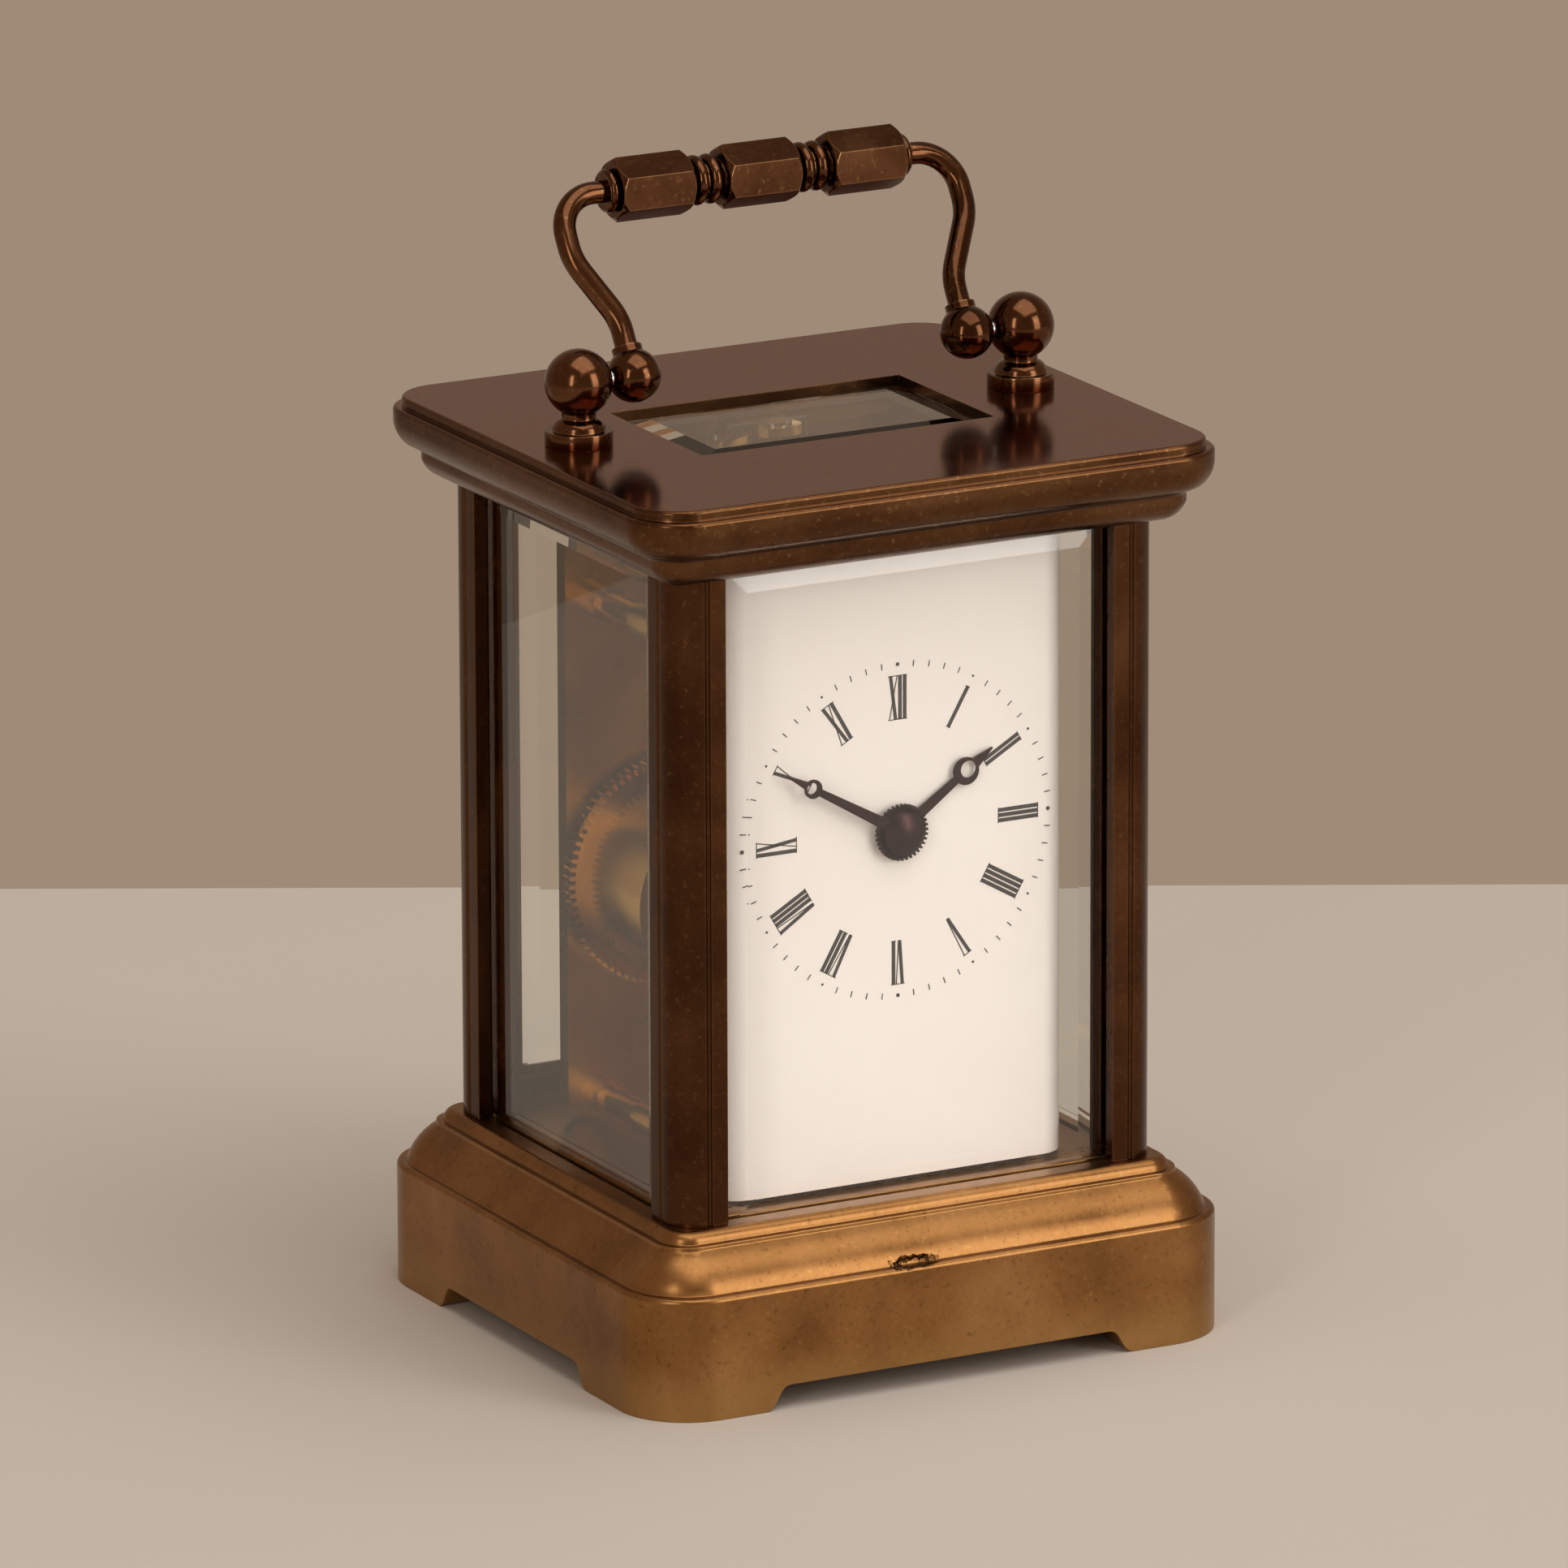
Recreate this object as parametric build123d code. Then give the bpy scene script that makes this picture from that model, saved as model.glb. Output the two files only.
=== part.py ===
from build123d import *
from math import acos, atan2, cos, degrees, pi, radians, sin, sqrt
import os

os.makedirs("parts", exist_ok=True)

# A miniature carriage clock. Sizes are in millimetres. +X is to the right of someone
# facing the dial, +Y is from the dial to the rear door, +Z is up. The origin lies on
# the surface that the clock stands on, under the middle of the case.

# Case block, measured over the four corner pillars
case_width = 46.0
case_depth = 42.1
pillar_face = 4.6
pillar_side = 5.2
pillar_round = 3.0
pillar_strip = 1.5
quirk_radius = 0.22
pillar_height = 55.8
pillar_core_x = 1.8
pillar_core_y = 2.05
spigot_radius = 1.2
spigot_length = 2.6

# Base moulding, from the table up
plinth_spread = 5.15
plinth_corner = 6.4
plinth_height = 10.7
arris_round = 0.45
quirk_ledge = 0.35
base_ovolo_width = 2.6
base_ovolo_rise = 3.15
base_ovolo_bulge = 0.35
base_step = 0.35
base_ledge = 0.6
base_bead_width = 0.75
base_bead_rise = 1.0
base_bead_bulge = 0.2
base_wall = 4.0
corner_margin = 0.5
quarter_bulge = 0.293
floor_thickness = 4.0
front_arch_half = 17.6
side_arch_half = 13.7
arch_run = 2.4
arch_height = 2.1
arch_ease = 1.32
arch_lip = 0.21

# Bottom plate under the hollow of the base
bottom_plate_thickness = 1.2
bottom_plate_height = 2.6
bottom_plate_lap = 0.7
boss_radius = 2.4
boss_inset = 1.9

# Cornice moulding, from the soffit up
cornice_spread = 4.55
cornice_corner = 5.0
soffit_inset = 4.1
lower_ovolo_width = 1.75
lower_ovolo_rise = 1.6
lower_ovolo_bulge = 0.3
cornice_neck = 0.6
cove_width = 0.6
cove_rise = 0.5
cove_hollow = 0.12
drip_width = 0.8
drip_rise = 0.4
upper_ovolo_width = 0.95
upper_ovolo_rise = 2.3
upper_ovolo_bulge = 0.3
nose_band = 0.5
nose_round = 0.35
nose_ledge = 0.4
riser = 0.55
top_round = 0.3
crown_thickness = 2.2
cornice_hollow_x = 19.3
cornice_hollow_y = 17.3

# Bevelled glasses
glass_thickness = 1.4
glass_lip = 1.2
glass_fit = 0.05
groove_depth = 0.8
base_slot_depth = 2.5
cornice_slot_depth = 1.6
glass_rise_fit = 0.1
bevel_width = 3.4
bevel_drop = 0.5
top_opening_width = 27.8
top_opening_depth = 16.8
top_glass_flange = 1.5
top_glass_flange_thickness = 0.95
top_bevel = 2.6
top_bevel_drop = 0.6
top_glass_recess = 0.35
clip_length = 3.2
clip_width = 2.2
clip_thickness = 0.45
clip_lap = 0.9
clip_screw_head = 0.75

# Screws
screw_shank = 0.78
screw_head = 1.7
screw_head_height = 1.2
screw_reach = 3.5
small_screw_shank = 0.5
small_screw_head = 0.95
small_screw_head_height = 0.55
small_screw_reach = 2.4
screw_slot_width = 0.3
screw_slot_share = 0.45
thread_fit = 0.02
screw_hole_fit = 0.1

# Handle
post_spacing = 42.2
post_ball = 2.87
post_ball_height = 5.3
post_foot = 2.87
post_foot_thickness = 1.3
post_foot_lip = 2.24
post_cove_top = 2.28
post_cove_hollow = 0.22
post_neck = 1.45
post_neck_top = 3.0
post_stem = 1.2
post_stem_length = 3.6
handle_ball = 2.3
handle_ball_flat = 2.2
pivot_gap = 0.25
pivot_half_spacing = 15.9
pivot_radius = 0.7
pivot_running_fit = 0.05
pivot_depth = 2.0
arm_radius = 0.97
arm_root = 1.4
arm_collar = 1.3
arm_collar_length = 0.6
arm_shoulder_height = 5.0
arm_bow = 2.9
arm_bow_height = 10.6
arm_bend = 5.0
arm_top_bend = 3.4
handle_reach = 16.2
grip_corner = 2.8
grip_hex_length = 6.9
grip_end_chamfer = 0.45
grip_neck = 1.6
grip_beads_length = 3.2
grip_bead_ring = 1.6
grip_bead = 0.55
grip_bead_spacing = 1.3
grip_end_length = 0.85
grip_end_ring = 1.45
grip_end_bead = 0.42
arm_tenon = 1.9
handle_lean = 31.0

# Rear door
door_gap = 0.15
door_thickness = 1.6
door_setback = 0.05
door_stile = 2.7
door_hinge_inset = 1.0
door_hinge_setback = 0.6
door_back_round = 0.35
door_glass_lap = 0.9
door_glass_thickness = 1.0
door_bevel = 1.6
hinge_pin_radius = 0.45
hinge_pin_length = 1.3
hinge_running_fit = 0.05
knob_radius = 1.5
knob_neck = 0.7
knob_length = 3.4

# Dial and hands
dial_width = 33.2
dial_bottom_gap = 0.3
dial_top_rise = 0.8
dial_thickness = 1.0
dial_depth = 4.75
dial_roll = 2.6
dial_roll_depth = 3.0
dial_centre_height = 45.9
dial_hole = 2.0
dial_foot_radius = 0.6
dial_foot_spread = 10.0
dial_foot_rise = 21.0
hand_thickness = 0.25
hand_gap = 0.3
hands_apart = 0.45
hour_hand_length = 10.75
hour_ring_centre = 7.7
hour_ring = 1.2
hour_ring_hole = 0.75
hour_ring_offset = 0.25
hour_flare = 0.73
minute_hand_length = 13.0
minute_ring_centre = 9.95
minute_ring = 0.82
minute_ring_hole = 0.5
minute_ring_offset = 0.15
minute_flare = 0.41
hand_root = 0.55
hand_waist = 0.3
hand_point = 0.05
hour_hub = 1.9
minute_hub = 1.5
hand_boss = 1.9
hand_boss_rise = 0.55
minute_shown = 50
hour_shown = 1

# Movement frame
plate_width = 31.0
plate_height = 53.0
plate_thickness = 1.5
plate_corner = 2.5
front_plate_gap = 3.1
plate_spacing = 22.6
plate_pillar_radius = 1.6
plate_pillar_neck = 1.2
plate_pillar_end = 2.6
plate_pillar_band = 5.0
plate_pillar_spread = 12.6
plate_pillar_low = 2.3
plate_pillar_high = 7.0
plate_clearance = 0.02

# Wheels and pinions: tooth form, as shares of the tooth module or of the tooth pitch
wheel_addendum = 1.35
wheel_dedendum = 1.3
pinion_addendum = 0.6
pinion_shoulder = 0.4
pinion_dedendum = 1.7
leaf_share = 0.4
escape_leaf_share = 0.3
leaf_tip_share = 0.3
leaf_shoulder_share = 0.75
crown_tooth_share = 0.45
crown_tip_share = 0.25
crown_addendum = 0.95
crown_dedendum = 1.4

# Going train: tooth counts, and the tooth module of each mesh
barrel_teeth = 80
centre_leaves = 10
centre_teeth = 80
third_leaves = 10
third_teeth = 75
contrate_leaves = 10
contrate_teeth = 70
escape_leaves = 7
barrel_module = 0.246
centre_module = 0.2
third_module = 0.18
barrel_bearing = 235.2
third_bearing = 73.6
contrate_bearing = 109.4
wheel_thickness = 0.7
pinion_length = 1.8
centre_arbor_radius = 0.7
centre_journal = 0.5
arbor_radius = 0.5
arbor_pivot = 0.35
pivot_fit = 0.04
end_shake = 0.1
centre_wheel_gap = 1.8
third_wheel_front = 2.0
spoke_width = 1.0
rim_width = 1.3
hub_radius = 1.6

# Barrel and winding work
barrel_gap = 1.0
barrel_length = 11.4
great_wheel_thickness = 1.2
barrel_wall = 0.7
barrel_cap_thickness = 0.8
drum_radius = 8.7
barrel_arbor_radius = 1.6
barrel_arbor_journal = 1.1
winding_square = 1.5
winding_square_length = 3.5
spring_thickness = 0.28
spring_turns = 9
spring_gap = 0.15
spiral_points = 12
ratchet_teeth = 24
ratchet_radius = 4.2
ratchet_tooth_depth = 0.6
ratchet_thickness = 0.9
ratchet_air = 0.25
ratchet_phase = 1.2
click_distance = 5.8
click_bearing = 40.0
click_tip_bearing = 80.0
click_clearance = 0.08
click_width = 0.8
click_pivot = 0.6
click_eye = 1.1
click_heel = 0.16
click_belly = 0.77
click_nose = 0.45
click_screw_head_thickness = 0.5
click_spring_thickness = 0.3
click_spring_foot = 0.9
click_spring_pin = 0.4
click_spring_run = 4.6
click_spring_rise = 2.6
click_spring_tip = 1.2

# Motion work between the dial and the front plate
cannon_leaves = 12
minute_teeth = 36
minute_leaves = 10
hour_teeth = 40
cannon_module = 0.22
minute_bearing = -35.0
motion_thickness = 0.6
motion_air = 0.1
cannon_leaf_length = 1.2
minute_leaf_length = 1.5
hour_wheel_gap = 0.3
cannon_radius = 0.95
cannon_square = 1.3
hour_pipe_radius = 1.45
running_fit = 0.07
stud_radius = 0.42
set_square = 0.9
set_square_length = 2.6

# Platform escapement
platform_width = 16.0
platform_thickness = 1.2
platform_corner = 1.5
platform_screw_x = 6.5
escape_teeth = 15
contrate_ring = 0.55
contrate_ring_outside = 0.25
contrate_depth = 0.95
contrate_disc = 0.6
pinion_mesh_drop = 1.2
escape_line = -3.1
escape_leaf_length = 1.6
escape_to_pallet = 3.2
pallet_to_balance = 4.4
escape_radius = 2.7
escape_tooth_depth = 0.55
escape_tooth_lean = 0.75
escape_tooth_tip = 0.08
escape_rim = 0.35
escape_hub = 0.75
escape_spoke = 0.35
escape_thickness = 0.3
escape_lift = 1.0
upright_radius = 0.3
upright_pivot = 0.15
jewel_depth = 0.6
lower_cock_width = 2.6
lower_cock_foot = 0.7
lower_cock_drop = 3.0
lower_cock_back = 0.7
lower_cock_face = 3.9
lower_cock_arm = 2.0
bridge_lift = 2.0
bridge_thickness = 0.6
bridge_width = 3.0
bridge_half_length = 5.4
bridge_leg = 1.6
bridge_tongue = 1.6
pallet_air = 0.12
pallet_spread = 30.0
pallet_width = 0.42
pallet_length = 0.75
pallet_arm = 0.5
lever_hub = 0.6
lever_shank = 0.5
fork_half_width = 0.55
fork_slot = 0.34
fork_depth = 0.6
fork_air = 0.05
balance_radius = 4.6
balance_rim = 0.6
balance_arm = 0.8
balance_hub = 0.95
balance_thickness = 0.6
balance_lift = 3.0
staff_radius = 0.4
roller_radius = 0.95
roller_thickness = 0.3
impulse_pin_radius = 0.14
impulse_pin_circle = 0.72
timing_screws = 12
timing_screw_radius = 0.24
timing_screw_length = 0.4
hairspring_thickness = 0.1
hairspring_height = 0.3
hairspring_turns = 7
hairspring_inner = 0.62
hairspring_outer = 2.6
hairspring_air = 0.3
cock_thickness = 0.8
cock_lift = 4.7
cock_width = 4.2
cock_reach = 1.7
cock_foot_gap = 5.25
cock_foot_length = 3.6
cock_step = 2.1
cock_screw_spread = 1.15
cock_nose_round = 1.5
index_thickness = 0.35
index_ring = 1.35
index_hole = 0.75
index_boss = 0.7
index_length = 4.6
index_arm = 0.6
index_point = 0.15
curb_pin_radius = 0.09
curb_pin_gap = 0.1

# Heights and depths that follow from the sizes above
base_top = plinth_height + base_ovolo_rise + base_step + base_bead_rise
soffit = base_top + pillar_height
neck_top = soffit + lower_ovolo_rise + cornice_neck
drip_height = neck_top + cove_rise + drip_rise
nose_height = drip_height + upper_ovolo_rise
case_top = nose_height + nose_band + nose_round + riser + top_round
ceiling = case_top - crown_thickness
floor_underside = base_top - floor_thickness
bottom_plate_top = bottom_plate_height + bottom_plate_thickness
half_width = case_width / 2
half_depth = case_depth / 2
plinth_half_x = half_width + plinth_spread
plinth_half_y = half_depth + plinth_spread
hollow_half_x = plinth_half_x - base_wall
hollow_half_y = plinth_half_y - base_wall
lip_half_x = half_width + cornice_spread
lip_half_y = half_depth + cornice_spread
core_x = half_width - pillar_core_x
core_y = half_depth - pillar_core_y
opening_half = half_width - pillar_face
side_opening_half = half_depth - pillar_side

glass_groove = glass_thickness + 2 * glass_fit
glass_bottom = base_top - base_slot_depth + glass_rise_fit
glass_top = soffit + cornice_slot_depth - glass_rise_fit
glass_height = glass_top - glass_bottom
glass_middle = (glass_top + glass_bottom) / 2

pivot_height = case_top + post_ball_height
pivot_face = pivot_half_spacing + handle_ball_flat
post_face = pivot_face + pivot_gap
grip_half = (3 * grip_hex_length + 2 * grip_beads_length) / 2 + grip_end_length

door_bottom = base_top + door_gap
door_top = soffit - door_gap
door_middle = (door_bottom + door_top) / 2
door_width = 2 * (opening_half - door_gap)
door_outer_y = half_depth - door_setback
door_inner_y = door_outer_y - door_thickness
door_axis_x = opening_half - door_gap - door_hinge_inset
door_axis_y = door_outer_y - door_hinge_setback
knob_x = (door_width - door_stile + door_glass_lap) / 2

dial_front = -half_depth + dial_depth
dial_back = dial_front + dial_thickness
minute_angle = 6.0 * minute_shown
hour_angle = 30.0 * (hour_shown + minute_shown / 60)
hour_hand_back = dial_front - hand_gap
hour_hand_front = hour_hand_back - hand_thickness
minute_hand_back = hour_hand_front - hands_apart
minute_hand_front = minute_hand_back - hand_thickness

front_plate_front = dial_back + front_plate_gap
front_plate_back = front_plate_front + plate_thickness
back_plate_front = front_plate_back + plate_spacing
back_plate_back = back_plate_front + plate_thickness
plate_top = base_top + plate_height
platform_top = plate_top + platform_thickness
plate_pillar_low_z = base_top + plate_pillar_low
plate_pillar_high_z = plate_top - plate_pillar_high


def facing_front(x, z, back):
    """Plane at depth back whose own x is X, whose own y is Z and which looks at the viewer."""
    return Plane(origin=(x, back, z), x_dir=(1, 0, 0), z_dir=(0, -1, 0))


def slab(outline, x, z, front, back):
    """Flat outline drawn on the dial side and given thickness from front to back."""
    return extrude(facing_front(x, z, back) * outline, amount=back - front)


def disc(radius, x, z, front, back):
    return slab(Circle(radius), x, z, front, back)


def upright(outline, x, y, bottom, top):
    """Flat outline seen from above, given height from bottom to top."""
    return extrude(Pos(x, y, bottom) * outline, amount=top - bottom)


def post(radius, x, y, bottom, top):
    return upright(Circle(radius), x, y, bottom, top)


def turned(points):
    """Solid of revolution about Z from (radius, height) points."""
    return revolve(Plane.XZ * make_face(Polyline(*points, close=True)), Axis.Z)


def polar(radius, angle):
    return (radius * cos(radians(angle)), radius * sin(radians(angle)))


def placed(centre, distance, bearing):
    """Arbor position at a distance and bearing from another arbor, seen on the dial side."""
    step_x, step_z = polar(distance, bearing)
    return (centre[0] + step_x, centre[1] + step_z)


def save(shape, name):
    solids = shape.solids()
    whole = solids[0] if len(solids) == 1 else Compound(children=list(solids))
    export_step(whole, f"parts/{name}.step")


def mitred(points, half_x, half_y, corner, inner_inset):
    """Moulding swept round a rounded rectangle. Points are edges drawn as (inset, height)."""
    path = RectangleRounded(2 * half_x, 2 * half_y, corner).wire()
    start = path @ 0
    along = path % 0
    inward = Vector(0, 0, 1).cross(along)
    if inward.dot(-start) < 0:
        along = -along
        inward = -inward
    low = points[0] @ 0
    high = points[-1] @ 1
    closing = Polyline(
        (high.X, high.Y), (inner_inset, high.Y), (inner_inset, low.Y), (low.X, low.Y)
    )
    section = make_face(points + [closing])
    frame = Plane(origin=start, x_dir=inward, z_dir=along)
    return sweep(frame * section, path)


def bulge(start, end, height):
    """Arc from start to end that swells by height to its left."""
    run = Vector(*end) - Vector(*start)
    middle = (Vector(*start) + Vector(*end)) / 2
    side = Vector(-run.Y, run.X).normalized() * height
    return ThreePointArc(start, (middle.X + side.X, middle.Y + side.Y), end)


def rounded_block(half_x, half_y, corner, bottom, top):
    return upright(RectangleRounded(2 * half_x, 2 * half_y, corner), 0, 0, bottom, top)


def four_ways(x, y):
    return [(x, y), (-x, y), (x, -y), (-x, -y)]


# Arbor places, tooth modules and depths of the movement that follow from the sizes
centre = (0, dial_centre_height)
centre_pitch_distance = barrel_module * (barrel_teeth + centre_leaves) / 2
barrel_at = placed(centre, centre_pitch_distance, barrel_bearing)
third_at = placed(centre, centre_module * (centre_teeth + third_leaves) / 2, third_bearing)
contrate_at = placed(third_at, third_module * (third_teeth + contrate_leaves) / 2, contrate_bearing)
motion_distance = cannon_module * (minute_teeth + cannon_leaves) / 2
minute_at = placed(centre, motion_distance, minute_bearing)
hour_module = 2 * motion_distance / (hour_teeth + minute_leaves)
contrate_pitch = plate_top - pinion_mesh_drop - contrate_at[1]
escape_pinion_pitch = contrate_pitch * escape_leaves / contrate_teeth
escape_module = 2 * escape_pinion_pitch / escape_leaves
click_at = placed(barrel_at, click_distance, click_bearing)
click_tip = placed(barrel_at, ratchet_radius + click_clearance, click_tip_bearing)
click_spring_at = (click_tip[0] + click_width - click_spring_run, click_tip[1] + click_spring_rise)

great_wheel_back = back_plate_front - barrel_gap
great_wheel_front = great_wheel_back - great_wheel_thickness
barrel_front = great_wheel_back - barrel_length
centre_wheel_back = barrel_front - centre_wheel_gap
centre_wheel_front = centre_wheel_back - wheel_thickness
pinion_overhang = (pinion_length - wheel_thickness) / 2
crown_pitch_plane = escape_line + escape_pinion_pitch
contrate_front = crown_pitch_plane + contrate_depth
contrate_back = contrate_front + contrate_disc
cannon_back = front_plate_front - motion_air
cannon_front = cannon_back - cannon_leaf_length
minute_wheel_back = cannon_back - motion_air
minute_wheel_front = minute_wheel_back - motion_thickness
hour_wheel_back = cannon_front - hour_wheel_gap
hour_wheel_front = hour_wheel_back - motion_thickness
ratchet_front = back_plate_back + ratchet_air
ratchet_back = ratchet_front + ratchet_thickness
pallet_line = escape_line + escape_to_pallet
balance_line = pallet_line + pallet_to_balance
bridge_bottom = platform_top + bridge_lift
bridge_top = bridge_bottom + bridge_thickness
cock_bottom = platform_top + cock_lift
cock_top = cock_bottom + cock_thickness
lower_cock_front = escape_line - lower_cock_face
lower_cock_screw_y = lower_cock_front + lower_cock_arm / 2


def foot_arch(half_span, through):
    """Cutter for the low arch between two feet, seen from the front."""
    flat_half = half_span - arch_run
    right_end = Bezier(
        (half_span, 0), (half_span - arch_ease, arch_lip),
        (flat_half + arch_ease, arch_height), (flat_half, arch_height),
    )
    left_end = Bezier(
        (-flat_half, arch_height), (-flat_half - arch_ease, arch_height),
        (-half_span + arch_ease, arch_lip), (-half_span, 0),
    )
    top = Line((flat_half, arch_height), (-flat_half, arch_height))
    sill = Polyline(
        (-half_span, 0), (-half_span, -arch_height), (half_span, -arch_height), (half_span, 0)
    )
    outline = make_face([right_end, top, left_end, sill])
    return slab(outline, 0, 0, -through, through)


def base_plinth():
    """Cast base: moulded wall, floor under the movement, four feet and four screw bosses."""
    arris_foot = (0, plinth_height - arris_round)
    arris_head = (arris_round, plinth_height)
    quirk = arris_round + quirk_ledge
    ovolo_top = (quirk + base_ovolo_width, plinth_height + base_ovolo_rise)
    step_top = (ovolo_top[0], ovolo_top[1] + base_step)
    ledge_end = (step_top[0] + base_ledge, step_top[1])
    bead_end = (ledge_end[0] + base_bead_width, base_top)
    profile = [
        Line((0, 0), arris_foot),
        bulge(arris_foot, arris_head, arris_round * quarter_bulge),
        Line(arris_head, (quirk, plinth_height)),
        bulge((quirk, plinth_height), ovolo_top, base_ovolo_bulge),
        Line(ovolo_top, step_top),
        Line(step_top, ledge_end),
        bulge(ledge_end, bead_end, base_bead_bulge),
    ]
    ring_inset = plinth_corner - corner_margin
    wall = mitred(profile, plinth_half_x, plinth_half_y, plinth_corner, ring_inset)
    core_inset = ring_inset - corner_margin / 2
    core = rounded_block(
        plinth_half_x - core_inset, plinth_half_y - core_inset, corner_margin, 0, base_top
    )
    body = wall + core
    hollow = rounded_block(
        hollow_half_x, hollow_half_y, plinth_corner - base_wall, 0, floor_underside
    )
    recess = rounded_block(
        hollow_half_x + bottom_plate_lap, hollow_half_y + bottom_plate_lap,
        plinth_corner - base_wall + bottom_plate_lap, 0, bottom_plate_top,
    )
    body = body - hollow - recess
    body = body - foot_arch(front_arch_half, 2 * plinth_half_y)
    body = body - Rot(0, 0, 90) * foot_arch(side_arch_half, 2 * plinth_half_x)
    for x, y in boss_places():
        body = body + post(boss_radius, x, y, bottom_plate_top, floor_underside)
        depth = bottom_plate_top + small_screw_reach + screw_hole_fit
        body = body - post(small_screw_shank + thread_fit, x, y, bottom_plate_top, depth)
    for x, y in case_screw_places():
        body = body - post(screw_shank + screw_hole_fit, x, y, floor_underside, base_top)
    for cutter in glass_slots(base_top - base_slot_depth, base_top):
        body = body - cutter
    return body - post(
        hinge_pin_radius + hinge_running_fit, -door_axis_x, door_axis_y,
        base_top - hinge_pin_length, base_top,
    )


def boss_places():
    return [
        (hollow_half_x - boss_inset, 0), (boss_inset - hollow_half_x, 0),
        (0, hollow_half_y - boss_inset), (0, boss_inset - hollow_half_y),
    ]


def case_screw_places():
    return four_ways(core_x, core_y) + [(plate_pillar_spread, 0), (-plate_pillar_spread, 0)]


def glass_slots(bottom, top):
    """Slots in base and cornice that hold the front glass and the two side glasses."""
    front_y = glass_lip + glass_groove / 2 - half_depth
    side_x = half_width - glass_lip - glass_groove / 2
    front = upright(
        Rectangle(2 * (opening_half + groove_depth), glass_groove), 0, front_y, bottom, top
    )
    side = Rectangle(glass_groove, 2 * (side_opening_half + groove_depth))
    return [front] + [upright(side, x, 0, bottom, top) for x in (-side_x, side_x)]


def screw(shank, head, head_height, reach):
    """Slotted cheese-head screw that stands on its head, its shank upwards."""
    blank = post(head, 0, 0, -head_height, 0) + post(shank, 0, 0, 0, reach)
    slot = upright(
        Rectangle(2 * head + screw_slot_width, screw_slot_width), 0, 0,
        -head_height, head_height * (screw_slot_share - 1),
    )
    return blank - slot


def case_screws():
    """Four screws into the pillars and two into the lower movement pillars, all alike."""
    one = screw(screw_shank, screw_head, screw_head_height, floor_thickness + screw_reach)
    return Compound(children=[Pos(x, y, floor_underside) * one for x, y in case_screw_places()])


def bottom_plate():
    plate = rounded_block(
        hollow_half_x + bottom_plate_lap - plate_clearance,
        hollow_half_y + bottom_plate_lap - plate_clearance,
        plinth_corner - base_wall + bottom_plate_lap, bottom_plate_height, bottom_plate_top,
    )
    for x, y in boss_places():
        plate = plate - post(
            small_screw_shank + screw_hole_fit, x, y, bottom_plate_height, bottom_plate_top
        )
        plate = plate - post(
            small_screw_head + screw_hole_fit, x, y, bottom_plate_height,
            bottom_plate_height + small_screw_head_height,
        )
    return plate


def bottom_plate_screws():
    grip = bottom_plate_thickness - small_screw_head_height
    one = screw(
        small_screw_shank, small_screw_head, small_screw_head_height, grip + small_screw_reach
    )
    seat = bottom_plate_height + small_screw_head_height
    return Compound(children=[Pos(x, y, seat) * one for x, y in boss_places()])


def pillar(glazed_front):
    """Front left corner pillar, or a rear one when its own face has no glass groove."""
    section = Rectangle(pillar_face, pillar_side, align=(Align.MIN, Align.MIN))
    corner = section.vertices().sort_by(Axis.X)[:2].sort_by(Axis.Y)[0]
    section = fillet(corner, pillar_round)
    quirk = Circle(quirk_radius)
    section = section - Pos(pillar_face - pillar_strip - quirk_radius, 0) * quirk
    section = section - Pos(0, pillar_side - pillar_strip - quirk_radius) * quirk
    channel = Rectangle(groove_depth, glass_groove, align=(Align.MAX, Align.MIN))
    if glazed_front:
        section = section - Pos(pillar_face, glass_lip) * channel
    side_channel = Rectangle(glass_groove, groove_depth, align=(Align.MIN, Align.MAX))
    section = section - Pos(glass_lip, pillar_side) * side_channel
    shaft = upright(section, -half_width, -half_depth, base_top, soffit)
    spigot = post(spigot_radius, -core_x, -core_y, soffit, soffit + spigot_length)
    tapped = post(
        screw_shank + thread_fit, -core_x, -core_y, base_top, base_top + screw_reach + screw_hole_fit
    )
    return shaft + spigot - tapped


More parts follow.
